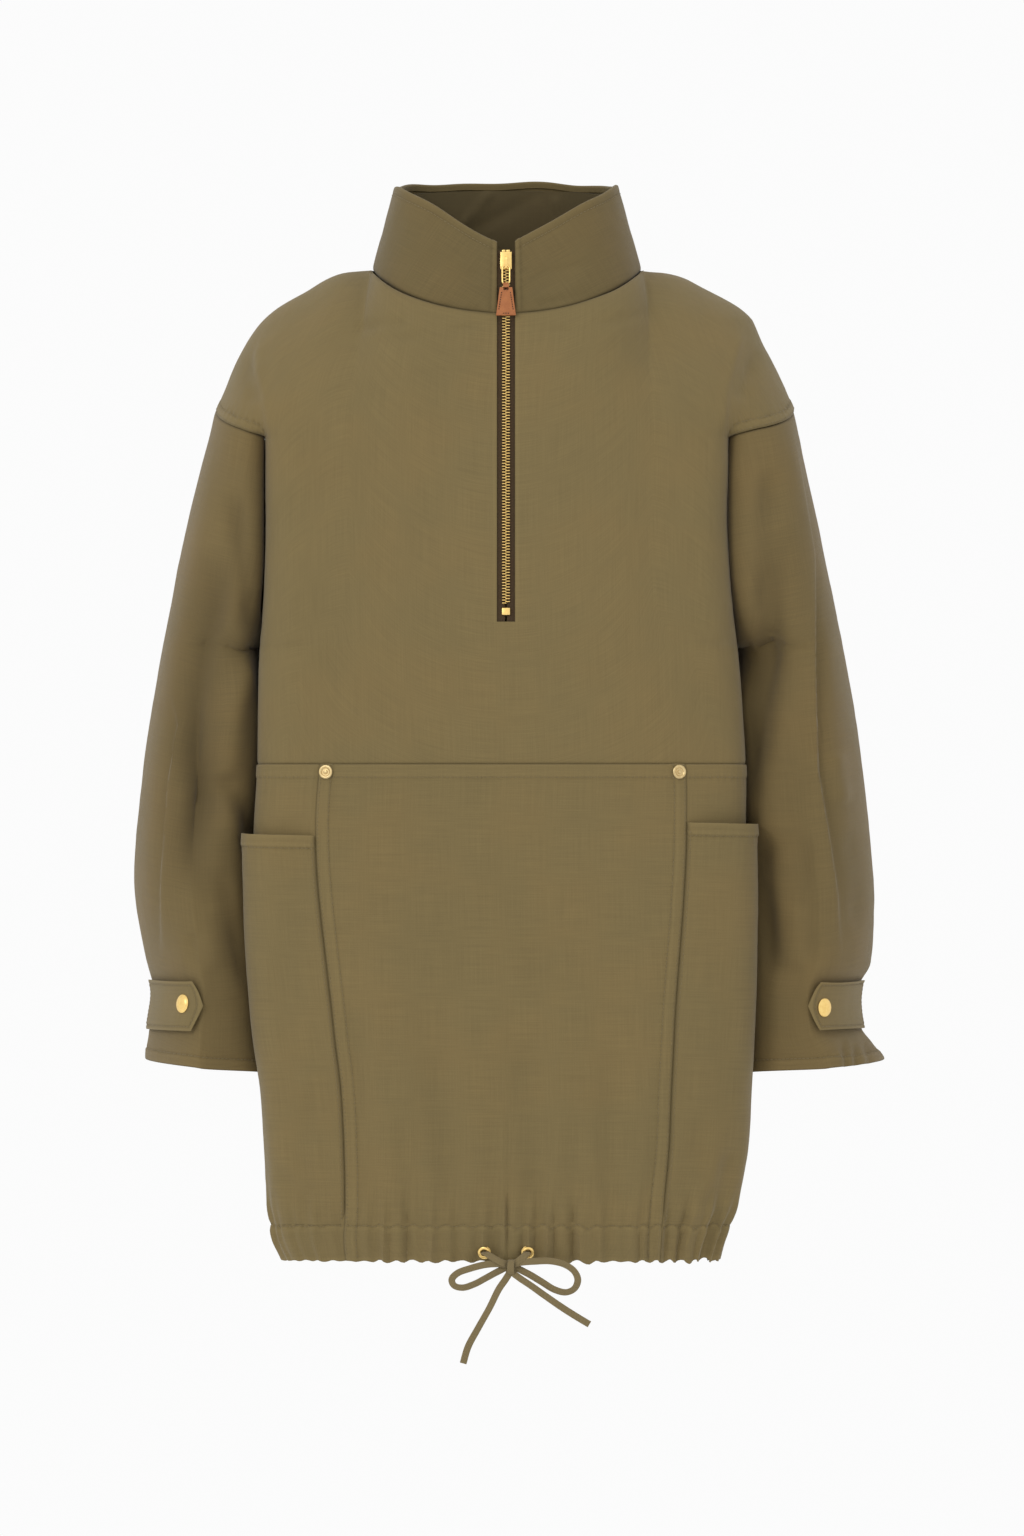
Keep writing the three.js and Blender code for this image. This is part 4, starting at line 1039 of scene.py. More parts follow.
    def seat(self, x: float, z: float) -> tuple[Array, Array]:
        """The point and normal of the cloth at (x, z)."""
        gap = (self.points[..., 0] - x) ** 2 + (self.points[..., 2] - z) ** 2
        i, j = np.unravel_index(np.argmin(gap), gap.shape)
        at, normal = self.points[i, j], self.normal[i, j]
        dx, dz = x - at[0], z - at[2]
        dy = -(normal[0] * dx + normal[2] * dz) / normal[1]
        return at + np.array([dx, dy, dz]), normal

    def make(self, finish: bpy.types.Material, thickness: float = 1.2) -> bpy.types.Object:
        """Makes the piece's mesh, in metres, with its thickness, threads and stored values.

        Args:
            finish: The material.
            thickness: The cloth's thickness in millimetres, inwards.

        Returns:
            The object.
        """
        rows, columns = self.points.shape[:2]
        index = np.arange(rows * columns).reshape(rows, columns)
        right = np.roll(index, -1, axis=1) if self.wrap else index[:, 1:]
        left = index if self.wrap else index[:, :-1]
        quads = np.stack([left[:-1], right[:-1], right[1:], left[1:]], axis=-1)
        quads = quads[~self.hole].reshape(-1, 4)
        if self.flip:
            quads = quads[:, ::-1]
        used, quads = np.unique(quads, return_inverse=True)
        quads = quads.reshape(-1, 4)
        mesh = bpy.data.meshes.new(self.name)
        points = self.points.reshape(-1, 3)[used] * MM
        mesh.from_pydata(points.tolist(), [], quads.tolist())
        flat = np.stack([self.across - self.across[:, -1:] / 2, -self.along], axis=-1)
        flat = flat.reshape(-1, 2)[used] * MM
        layer = mesh.uv_layers.new(name="cloth")
        layer.data.foreach_set("uv", flat[quads.ravel()].astype(np.float32).ravel())
        # stores the painted shade and the rubbed wear for the cloth's colour
        for word, values in (("seam", self.seam), ("wear", self.wear)):
            stored = mesh.attributes.new(word, "FLOAT", "POINT")
            stored.data.foreach_set("value",
                                    np.clip(values, 0, 1).reshape(-1)[used].astype(np.float32))
        mesh.materials.append(finish)
        piece = bpy.data.objects.new(self.name, mesh)
        bpy.context.scene.collection.objects.link(piece)
        thick = piece.modifiers.new("thickness", "SOLIDIFY")
        thick.thickness, thick.offset, thick.use_quality_normals = thickness * MM, -1.0, True
        Bench.apply(piece)
        Bench.smooth(piece, 50)
        return piece


# ---- The workbench ------------------------------------------------------------------------


class Bench:
    """Small operations on objects, done as by hand."""

    @staticmethod
    def clear() -> None:
        """Selects nothing."""
        for thing in bpy.context.selected_objects:
            thing.select_set(False)

    @staticmethod
    def hold(piece: bpy.types.Object) -> None:
        """Selects one object and makes it active."""
        Bench.clear()
        piece.select_set(True)
        bpy.context.view_layer.objects.active = piece

    @staticmethod
    def apply(piece: bpy.types.Object) -> None:
        """Applies every modifier of an object."""
        Bench.hold(piece)
        for modifier in list(piece.modifiers):
            bpy.ops.object.modifier_apply(modifier=modifier.name)

    @staticmethod
    def smooth(piece: bpy.types.Object, degrees: float = 35) -> None:
        """Shades smooth except across edges sharper than an angle."""
        Bench.hold(piece)
        bpy.ops.object.shade_smooth_by_angle(angle=math.radians(degrees))

    @staticmethod
    def edit(piece: bpy.types.Object) -> bmesh.types.BMesh:
        """Enters edit mode with nothing selected, and gives the mesh to select from."""
        Bench.hold(piece)
        bpy.ops.object.mode_set(mode="EDIT")
        bpy.ops.mesh.select_all(action="DESELECT")
        return bmesh.from_edit_mesh(piece.data)

    @staticmethod
    def done(piece: bpy.types.Object) -> None:
        """Leaves edit mode."""
        bmesh.update_edit_mesh(piece.data)
        bpy.ops.object.mode_set(mode="OBJECT")

    @staticmethod
    def named(name: str, finish: bpy.types.Material | None = None) -> bpy.types.Object:
        """Names the object just added, and gives it its finish."""
        piece = bpy.context.object
        piece.name = piece.data.name = name
        if finish is not None:
            piece.data.materials.append(finish)
        return piece

    @staticmethod
    def place(piece: bpy.types.Object, matrix: Matrix) -> bpy.types.Object:
        """Puts a piece made at the origin into its place, in its mesh."""
        piece.data.transform(matrix @ piece.matrix_world)
        piece.matrix_world = Matrix.Identity(4)
        if matrix.determinant() < 0:
            piece.data.flip_normals()
        return piece

    @staticmethod
    def join(name: str, pieces: Sequence[bpy.types.Object]) -> bpy.types.Object:
        """Joins pieces into one object of several shells."""
        Bench.clear()
        for piece in pieces:
            piece.select_set(True)
        bpy.context.view_layer.objects.active = pieces[0]
        bpy.ops.object.join()
        pieces[0].name = pieces[0].data.name = name
        return pieces[0]

    @staticmethod
    def turned(name: str, outline: Sequence[tuple[float, float]], finish: bpy.types.Material,
               sides: int = 48) -> bpy.types.Object:
        """A solid turned about Z: a disc pulled up and in or out, ring after ring.

        Args:
            name: The piece's name.
            outline: (radius, height) of each ring in millimetres, the first being the base.
            finish: The material.
            sides: How many sides the rings have.

        Returns:
            The object, closed by its first and last rings.
        """
        Bench.clear()
        radius, height = outline[0]
        bpy.ops.mesh.primitive_circle_add(vertices=sides, radius=radius * MM, fill_type="NGON",
                                          location=(0, 0, height * MM))
        piece = Bench.named(name, finish)
        Bench.place(piece, Matrix.Identity(4))
        Bench.hold(piece)
        bpy.ops.object.mode_set(mode="EDIT")
        bpy.ops.mesh.select_all(action="SELECT")
        bpy.context.tool_settings.mesh_select_mode = (False, False, True)
        for next_radius, next_height in outline[1:]:
            bpy.ops.mesh.extrude_region_move(
                TRANSFORM_OT_translate={"value": (0, 0, (next_height - height) * MM)})
            share = max(next_radius, 0.02) / radius
            bpy.ops.transform.resize(value=(share, share, 1),
                                     center_override=(0, 0, next_height * MM))
            radius, height = max(next_radius, 0.02), next_height
        bpy.ops.mesh.select_all(action="SELECT")
        bpy.ops.mesh.normals_make_consistent(inside=False)
        bpy.context.tool_settings.mesh_select_mode = (True, False, False)
        bpy.ops.object.mode_set(mode="OBJECT")
        Bench.smooth(piece, 32)
        return piece

    @staticmethod
    def ring(name: str, radius: float, section: tuple[float, float], height: float,
             finish: bpy.types.Material, sides: int = 48) -> bpy.types.Object:
        """A rounded ring about Z: a small circle squashed to its section and spun round.

        Args:
            name: The piece's name.
            radius: Radius of the ring's middle line in millimetres.
            section: Half width and half height of the section.
            height: Height of the middle line.
            finish: The material.
            sides: Steps of the spin.

        Returns:
            The object.
        """
        Bench.clear()
        bpy.ops.mesh.primitive_circle_add(vertices=14, radius=MM,
                                          location=(radius * MM, 0, height * MM),
                                          rotation=(math.pi / 2, 0, 0), scale=(1, 1, 1))
        piece = Bench.named(name, finish)
        Bench.place(piece, Matrix.Identity(4))
        Bench.hold(piece)
        bpy.ops.object.mode_set(mode="EDIT")
        bpy.ops.mesh.select_all(action="SELECT")
        bpy.ops.transform.resize(value=(section[0], 1, section[1]),
                                 center_override=(radius * MM, 0, height * MM))
        bpy.ops.mesh.spin(steps=sides, angle=2 * math.pi, center=(0, 0, 0), axis=(0, 0, 1))
        bpy.ops.mesh.select_all(action="SELECT")
        bpy.ops.mesh.remove_doubles(threshold=1e-6)
        bpy.ops.mesh.normals_make_consistent(inside=False)
        bpy.ops.object.mode_set(mode="OBJECT")
        Bench.smooth(piece, 40)
        return piece

    @staticmethod
    def block(name: str, low: tuple[float, float, float], high: tuple[float, float, float],
              finish: bpy.types.Material | None, bevel: float = 0.0,
              segments: int = 2) -> bpy.types.Object:
        """A box between two corners in millimetres, with rounded edges."""
        Bench.clear()
        middle = [(a + b) / 2 * MM for a, b in zip(low, high)]
        size = [(b - a) * MM for a, b in zip(low, high)]
        bpy.ops.mesh.primitive_cube_add(size=1, location=middle, scale=size)
        piece = Bench.named(name, finish)
        Bench.place(piece, Matrix.Identity(4))
        if bevel:
            round_off = piece.modifiers.new("edges", "BEVEL")
            round_off.width = bevel * MM
            round_off.segments = segments
            round_off.limit_method = "NONE"
            Bench.apply(piece)
        return piece


def seat_matrix(at: Array, normal: Array, up: tuple[float, float, float] = (0, 0, 1)) -> Matrix:
    """Turns +Z to a normal, and moves the origin to a point given in millimetres."""
    z = Vector(normal).normalized()
    y = (Vector(up) - z * z.dot(Vector(up))).normalized()
    x = y.cross(z)
    turn = Matrix((x, y, z)).transposed().to_4x4()
    return Matrix.Translation(Vector(at) * MM) @ turn


class Stitching:
    """Stitches of one body, laid one by one along lines on the cloth."""

    LENGTH = 2.5
    PITCH = 3.3

    def __init__(self, name: str) -> None:
        """Starts with no stitches."""
        self.name = name
        self.centres: list[Array] = []
        self.frames: list[Array] = []

    def run(self, points: Array, normals: Array, length: float = LENGTH,
            pitch: float = PITCH) -> None:
        """Lays stitches along a line.

        Args:
            points: Points of the line in millimetres.
            normals: Outward normals there.
            length: Length of a stitch.
            pitch: From one stitch to the next.
        """
        step = np.linalg.norm(np.diff(points, axis=0), axis=-1)
        run = np.r_[0, np.cumsum(step)]
        count = int((run[-1] - pitch) / pitch)
        if count < 1:
            return
        at = (np.arange(count) + 0.5) * pitch + (run[-1] - count * pitch) / 2
        centre = np.stack([np.interp(at, run, points[:, k]) for k in range(3)], axis=-1)
        ahead = np.stack([np.interp(at + 0.8, run, points[:, k]) for k in range(3)], axis=-1)
        normal = unit(np.stack([np.interp(at, run, normals[:, k]) for k in range(3)], axis=-1))
        x = unit(ahead - centre)
        y = unit(np.cross(normal, x))
        frames = np.stack([x * length, y, np.cross(x, y)], axis=1)
        self.centres.append(centre + normal * 0.12)
        self.frames.append(frames)

    def make(self, finish: bpy.types.Material, width: float = 0.62) -> bpy.types.Object:
        """Makes all the stitches one object."""
        rings, sides = [(-0.5, 0.3, -0.32), (-0.36, 0.86, 0.0), (0.0, 1.0, 0.1), (0.36, 0.86, 0.0),
                        (0.5, 0.3, -0.32)], 6
        turn = np.arange(sides) * 2 * np.pi / sides
        shape = np.array([[x, math.cos(t) * r * width / 2,
                           math.sin(t) * r * width * 0.4 + dip * width]
                          for x, r, dip in rings for t in turn])
        faces = [[k * sides + i, k * sides + (i + 1) % sides, (k + 1) * sides + (i + 1) % sides,
                  (k + 1) * sides + i] for k in range(len(rings) - 1) for i in range(sides)]
        caps = [list(range(sides))[::-1], [(len(rings) - 1) * sides + i for i in range(sides)]]
        centres, frames = np.concatenate(self.centres), np.concatenate(self.frames)
        points = centres[:, None] + np.einsum("vk,nkc->nvc", shape, frames)
        polygons = [[v + n * len(shape) for v in face] for n in range(len(centres))
                    for face in [f[::-1] for f in faces] + [c[::-1] for c in caps]]
        mesh = bpy.data.meshes.new(self.name)
        mesh.from_pydata((points.reshape(-1, 3) * MM).tolist(), [], polygons)
        mesh.materials.append(finish)
        piece = bpy.data.objects.new(self.name, mesh)
        bpy.context.scene.collection.objects.link(piece)
        Bench.smooth(piece, 60)
        return piece


def report(piece: bpy.types.Object, body: str, slot: str, *nodes: str) -> bpy.types.Object:
    """Gives a piece its body, hides the imported nodes that it stands for, and logs it."""
    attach(piece, body)
    if nodes:
        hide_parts(*nodes)
    LOG.info("%s rides on %s, %d faces", piece.name, body, len(piece.data.polygons))
    return piece


# ---- Studio -------------------------------------------------------------------------------


@dataclass(frozen=True)
class Studio:
    """A paper floor, white air, soft lights and a long lens straight in front."""

    middle: tuple[float, float] = (0.0047, -0.395)
    distance: float = 9.0
    plane_y: float = -0.10
    lens: float = 270.0
    floor_z: float = -1.45

    def camera(self) -> None:
        """Sets up the camera."""
        data = bpy.data.cameras.new("studio_camera")
        data.lens, data.sensor_width = self.lens, 36.0
        camera = bpy.data.objects.new("studio_camera", data)
        camera.location = (self.middle[0], self.plane_y - self.distance, self.middle[1])
        camera.rotation_euler = (math.pi / 2, 0, 0)
        bpy.context.scene.collection.objects.link(camera)
        bpy.context.scene.camera = camera

    def paper(self) -> None:
        """Lays the paper floor."""
        Bench.clear()
        bpy.ops.mesh.primitive_circle_add(vertices=96, radius=6, fill_type="NGON",
                                          location=(0, 0, self.floor_z))
        floor = Bench.named("studio_paper", StudioPaper().dye())
        Bench.place(floor, Matrix.Identity(4))

    def lamp(self, name: str, at: tuple[float, float, float], size: float, power: float) -> None:
        """Hangs one soft light, turned to the jacket."""
        data = bpy.data.lights.new(name, "AREA")
        data.energy, data.size = power, size
        lamp = bpy.data.objects.new(name, data)
        lamp.location = at
        aim = Vector((0, 0, -0.4)) - Vector(at)
        lamp.rotation_euler = aim.to_track_quat("-Z", "Y").to_euler()
        bpy.context.scene.collection.objects.link(lamp)

    def light(self) -> None:
        """Lights the set."""
        world = bpy.data.worlds.new("studio_air")
        bpy.context.scene.world = world
        world.use_nodes = True
        world.node_tree.nodes["Background"].inputs["Color"].default_value = (1.0, 1.0, 1.0, 1)
        world.node_tree.nodes["Background"].inputs["Strength"].default_value = 0.97
        self.lamp("key", (-1.6, -2.5, 0.9), 0.8, 24)
        self.lamp("top", (0.3, -0.6, 1.9), 0.8, 3)
        bpy.context.scene.view_settings.view_transform = "Standard"
        bpy.context.scene.view_settings.look = "None"


# ---- Drawcord -----------------------------------------------------------------------------


@dataclass
class Drawcord:
    """The flat cord in the hem: two ends tied in a bow, and the stretch inside the channel."""

    width: float = 5.4
    thickness: float = 1.15
    eyelet_z: float = -773.0
    bow_y: float = -120.6
    left: tuple = ((-17, -6.5, 0), (-17, -2.2, 0), (-14.5, 1.2, -1.0), (-9, 2.2, -4.4),
                   (-3, 1.6, -7.6),
                   (1.0, -0.6, -9.0), (-6, 1.2, -8.4), (-16, 2.6, -9.0), (-28, 3.0, -12.0),
                   (-38, 3.0, -15.8),
                   (-42.2, 2.8, -20.6), (-40.5, 2.4, -25.2), (-34, 1.6, -27.0), (-25, 0.8, -24.4),
                   (-15, 0.0, -19.2), (-6, -1.2, -14.4), (1.0, -1.6, -11.5), (2.6, 0.2, -15.0),
                   (0.0, 1.2, -20), (-5.5, 1.8, -28), (-13, 2.2, -43), (-22, 2.4, -59),
                   (-29.5, 2.2, -73),
                   (-33.4, 2.0, -86))
    right: tuple = ((17, -6.5, 0), (17, -2.2, 0), (15.6, 1.0, -1), (12.5, 2.0, -4.0),
                    (8.4, 1.4, -7.2),
                    (5.0, -0.6, -9.2), (11, 1.4, -7.4), (22, 2.8, -6.4), (35, 3.2, -6.2),
                    (46, 3.2, -9.0),
                    (53.4, 3.0, -14.4), (56, 2.6, -21.0), (53.4, 2.0, -27.6), (47, 1.2, -30.6),
                    (38, 0.6, -28.6),
                    (27, 0.0, -22.0), (16, -1.0, -15.6), (7, -1.6, -12.0), (5.6, 0.4, -15.2),
                    (10, 2.0, -19.0), (19, 3.6, -25), (31, 4.6, -33.5), (44, 4.4, -42.5),
                    (55, 3.8, -49.5),
                    (65, 3.0, -55.5))

    def _path(self, points: Sequence[Sequence[float]], count: int) -> Array:
        """A smooth line in millimetres through points given as (x, forward, below)."""
        raw = np.array([[x, self.bow_y - forward, self.eyelet_z + below] for x, forward,
                        below in points])
        fine = catmull(raw, np.linspace(0, len(raw) - 1, 600), False)
        run = np.r_[0, np.cumsum(np.linalg.norm(np.diff(fine, axis=0), axis=1))]
        at = np.linspace(0, run[-1], count)
        return np.stack([np.interp(at, run, fine[:, k]) for k in range(3)], axis=-1)

    def ribbon(self, name: str, line: Array, facing: Array,
               finish: bpy.types.Material) -> bpy.types.Object:
        """A flat cord along a line.

        Args:
            name: The piece's name.
            line: Points in millimetres.
            facing: For each point, the way its flat face looks.
            finish: The material.

        Returns:
            The object.
        """
        ahead = unit(np.gradient(line, axis=0))
        wide = unit(np.cross(facing, ahead))
        out = unit(np.cross(ahead, wide))
        sides = 14
        turn = np.arange(sides) * 2 * np.pi / sides
        flat = np.sign(np.cos(turn)) * np.abs(np.cos(turn)) ** 0.55
        thin = np.sign(np.sin(turn)) * np.abs(np.sin(turn)) ** 0.75
        grid = (line[:, None] + wide[:, None] * flat[None, :, None] * self.width / 2
                + out[:, None] * thin[None, :, None] * self.thickness / 2)
        count = len(line)
        faces = [[k * sides + i, k * sides + (i + 1) % sides, (k + 1) * sides + (i + 1) % sides,
                  (k + 1) * sides + i] for k in range(count - 1) for i in range(sides)]
        faces += [list(range(sides))[::-1], [(count - 1) * sides + i for i in range(sides)]]
        mesh = bpy.data.meshes.new(name)
        mesh.from_pydata((grid.reshape(-1, 3) * MM).tolist(), [], faces)
        run = np.r_[0, np.cumsum(np.linalg.norm(np.diff(line, axis=0), axis=1))]
        flat_place = np.stack([np.tile(flat * self.width / 2, count), np.repeat(run, sides)],
                              axis=-1) * MM
        layer = mesh.uv_layers.new(name="cloth")
        index = np.zeros(len(mesh.loops), int)
        mesh.loops.foreach_get("vertex_index", index)
        layer.data.foreach_set("uv", flat_place[index].astype(np.float32).ravel())
        mesh.materials.append(finish)
        piece = bpy.data.objects.new(name, mesh)
        bpy.context.scene.collection.objects.link(piece)
        bm = bmesh.new()
        bm.from_mesh(mesh)
        bmesh.ops.recalc_face_normals(bm, faces=bm.faces)
        bm.to_mesh(mesh)
        bm.free()
        Bench.smooth(piece, 50)
        return piece

    def end(self, side: Side, finish: bpy.types.Material) -> bpy.types.Object:
        """One end of the cord: out of its eyelet, round its loop and down its tail."""
        points = self.left if side is Side.LEFT else self.right
        line = self._path(points, 190)
        share = np.linspace(0, 1, len(line))[:, None]
        roll = np.sin(share * 11 + side.sign) * 0.35 + 0.55 * np.exp(-((share - 0.42) / 0.06) ** 2)
        facing = unit(np.concatenate([roll * side.sign * 0.6, -np.ones_like(share),
                                      0.35 * np.cos(share * 8)], axis=1))
        entering = np.array([[side.sign * 0.2, -0.25, 1.0]])
        bend = smoothstep(share / 0.06)
        facing = unit(entering * (1 - bend) + facing * bend)
        return self.ribbon(f"drawcord_{side.word}", line, facing, finish)

    def knot(self, finish: bpy.types.Material) -> bpy.types.Object:
        """The band of cord round the middle of the bow."""
        turn = np.linspace(0.15, 2 * np.pi * 1.04, 60)
        radius_y = 3.3
        x = 3.6 + 0.9 * np.sin(turn * 0.5)
        line = np.stack([x, self.bow_y - 0.2 - radius_y * np.cos(turn),
                         self.eyelet_z - 11.2 + 5.6 * np.sin(turn)], axis=-1)
        out = unit(np.stack([0 * turn, -np.cos(turn), 0.9 * np.sin(turn)], axis=-1))
        band = self.ribbon("drawcord_bow_knot", line, out, finish)
        return band

    def channel(self, panel_line: tuple[Array, Array],
                finish: bpy.types.Material) -> bpy.types.Object:
        """The stretch inside the hem, standing on edge."""
        line, normal = panel_line
        run = np.r_[0, np.cumsum(np.linalg.norm(np.diff(line, axis=0), axis=1))]
        at = np.linspace(0, run[-1], 420)
        path = np.stack([np.interp(at, run, line[:, k]) for k in range(3)], axis=-1)
        out = unit(np.stack([np.interp(at, run, normal[:, k]) for k in range(3)], axis=-1))
        self.channel_length = run[-1] * MM
        return self.ribbon("drawcord_channel_stretch", path, out, finish)

    def build(self, wardrobe: Wardrobe) -> None:
        """Makes the bow."""
        ends = [(side, self.end(side, wardrobe.cord)) for side in Side]
        knot = self.knot(wardrobe.cord)
        report(knot, "shell", "olive_cord", "drawcord_knot")
        for side, piece in ends:
            report(piece, "shell", "olive_cord",
                   *[f"drawcord_{part}_{side.word}" for part in ("lead", "loop", "tail")])
            points = self.left if side is Side.LEFT else self.right
            path = self._path(points, 120) * MM
            length = float(np.sum(np.linalg.norm(np.diff(path, axis=0), axis=1)))
            LOG.info("%s is %.3f m long", piece.name, length)
            self.width * MM


# ---- Body ---------------------------------------------------------------------------------

CHEST_CREASES = [
    Crease(((-190, -52), (-197, -75), (-189, -105), (-184, -135)), -1.6, 5.0, 3.0),
    Crease(((-203, -60), (-204, -85), (-196, -112)), 2.4, 6.5),
    Crease(((188, -46), (181, -66), (172, -100), (168, -135)), -1.8, 3.0, 5.0),
    Crease(((199, -60), (192, -82), (183, -110)), 2.6, 6.5),
    Crease(((-120, -52), (-96, -47), (-72, -46)), 1.5, 5.0),
    Crease(((-110, -62), (-80, -58), (-52, -55)), 1.0, 5.0),
    Crease(((-46, -52), (-30, -50), (-14, -48)), 1.0, 3.0),
    Crease(((14, -49), (34, -52), (58, -53)), 1.0, 3.0),
    Crease(((62, -46), (92, -44), (120, -36)), 1.2, 5.0),
    Crease(((-168, -100), (-150, -150), (-140, -200)), 0.9, 16),
    Crease(((150, -95), (140, -160), (128, -210)), 1.0, 15),
    Crease(((-150, -300), (-120, -330), (-80, -345)), 0.8, 12),
    Crease(((20, -300), (60, -330), (110, -338)), 0.8, 13),
    Crease(((-172, -180), (-166, -260), (-171, -350)), -1.1, 9),
    Crease(((158, -170), (156, -250), (168, -350)), -1.1, 9),
    Crease(((-100, -535), (-96, -610), (-94, -720)), -2.1, 15),
    Crease(((-121, -560), (-116, -650), (-112, -745)), 1.8, 10),
    Crease(((-60, -600), (-52, -680), (-50, -748)), 1.7, 12),
    Crease(((-30, -560), (-26, -650), (-22, -745)), -1.9, 14),
    Crease(((12, -590), (14, -670), (18, -748)), 1.7, 12),
    Crease(((46, -560), (44, -650), (46, -745)), -1.8, 14),
    Crease(((80, -600), (78, -680), (80, -748)), 1.5, 11),
    Crease(((108, -520), (110, -640), (106, -740)), -1.2, 12),
    Crease(((-30, -470), (10, -520), (40, -585)), 0.9, 17),
    Crease(((-178, -520), (-170, -600), (-166, -700)), 0.9, 10),
    Crease(((-150, -640), (-156, -700), (-150, -745)), 1.6, 8),
    Crease(((160, -520), (166, -610), (162, -700)), 1.0, 10),
    Crease(((148, -660), (152, -705), (150, -745)), 1.4, 8),
    Crease(((-178, -700), (-168, -722), (-150, -742)), 1.4, 6),
    Crease(((176, -690), (166, -718), (152, -742)), 1.5, 6),
]

BACK_CREASES = [
    Crease(((-120, -90), (-100, -180), (-90, -300)), 2.2, 18),
    Crease(((120, -90), (104, -180), (88, -300)), 2.0, 18),
    Crease(((-20, -80), (-14, -200), (-20, -360)), -1.8, 22),
    Crease(((-70, -420), (-60, -560), (-66, -730)), 2.4, 17),
    Crease(((20, -440), (26, -580), (20, -740)), -2.2, 18),
    Crease(((86, -430), (78, -580), (84, -740)), 2.2, 16),
    Crease(((-150, -230), (-130, -330), (-134, -420)), 1.8, 15),
    Crease(((150, -250), (138, -340), (140, -430)), 1.8, 15),
]


def girth() -> tuple[Array, Array]:
    """Ring positions from 0 to 12, and how far round the hem each lies, in millimetres."""
    s = np.linspace(0, 12, 481)
    line = FORM.ring(s, np.full_like(s, -745.0))
    return s, np.r_[0, np.cumsum(np.linalg.norm(np.diff(line, axis=0), axis=1))]


GIRTH = girth()


def gather(s: Array, z: Array) -> tuple[Array, Array]:
    """The puckers that the drawcord makes: how far the cloth stands out, and how far it drops."""
    run = np.interp(np.mod(s, 12), *GIRTH)
    spot = triple(run, 0 * run, 0 * run)
    lean = run + 5.0 * lattice_noise(spot, 37, 5) + (z + 760) * 0.10 * lattice_noise(spot, 50, 6)
    low = smoothstep((-716 - z) / 42)
    tall = smoothstep((-640 - z) / 110)
    uneven = 0.75 + 0.55 * lattice_noise(spot, 30, 7)
    fine = np.sin(lean * 2 * np.pi / 13.6) + 0.35 * np.sin(lean * 2 * np.pi / 7.9 + 1)
    broad = np.sin(lean * 2 * np.pi / 31 + 0.7) + 0.6 * np.sin(lean * 2 * np.pi / 47)
    pinch = 1 - 0.45 * np.exp(-((z + 752) / 3.0) ** 2)
    height = uneven * (1.75 * low * fine * pinch + 1.5 * tall * broad)
    drop = 1.5 * smoothstep((-760 - z) / 20) * uneven * np.sin(lean * 2 * np.pi / 13.6 + 0.9)
    return height, drop


def body_centre(p: Array) -> Array:
    """The middle of the body, level with or under each point."""
    return triple(0 * p[..., 0], -5.0, p[..., 2] - 40)


class BodyCloth:
    """Base for the pieces round the trunk: the shared fall of the cloth and the banded panels."""

    def fall(self, panel: Panel) -> None:
        """Adds the hang of the cloth to a panel's height, and paints shade into its fold valleys.
        """
        hang = drape(panel.points, panel.normal, CHEST_CREASES, BACK_CREASES)
        panel.height = panel.height + hang
        # painted shade in the valleys of the folds
        panel.seam = np.maximum(panel.seam, np.clip(-hang / 16, 0, 0.3))

    def band(self, name: str, s: Array, z: Array) -> Panel:
        """A panel between ring positions and heights, with the hem's puckers."""
        ring, high = np.meshgrid(s, z)
        out, drop = gather(ring, high)
        points = OUTLINE.moved(FORM.ring(ring, high))
        points[..., 2] += drop
        panel = Panel(name, points, body_centre)
        panel.height = panel.height + out
        return panel


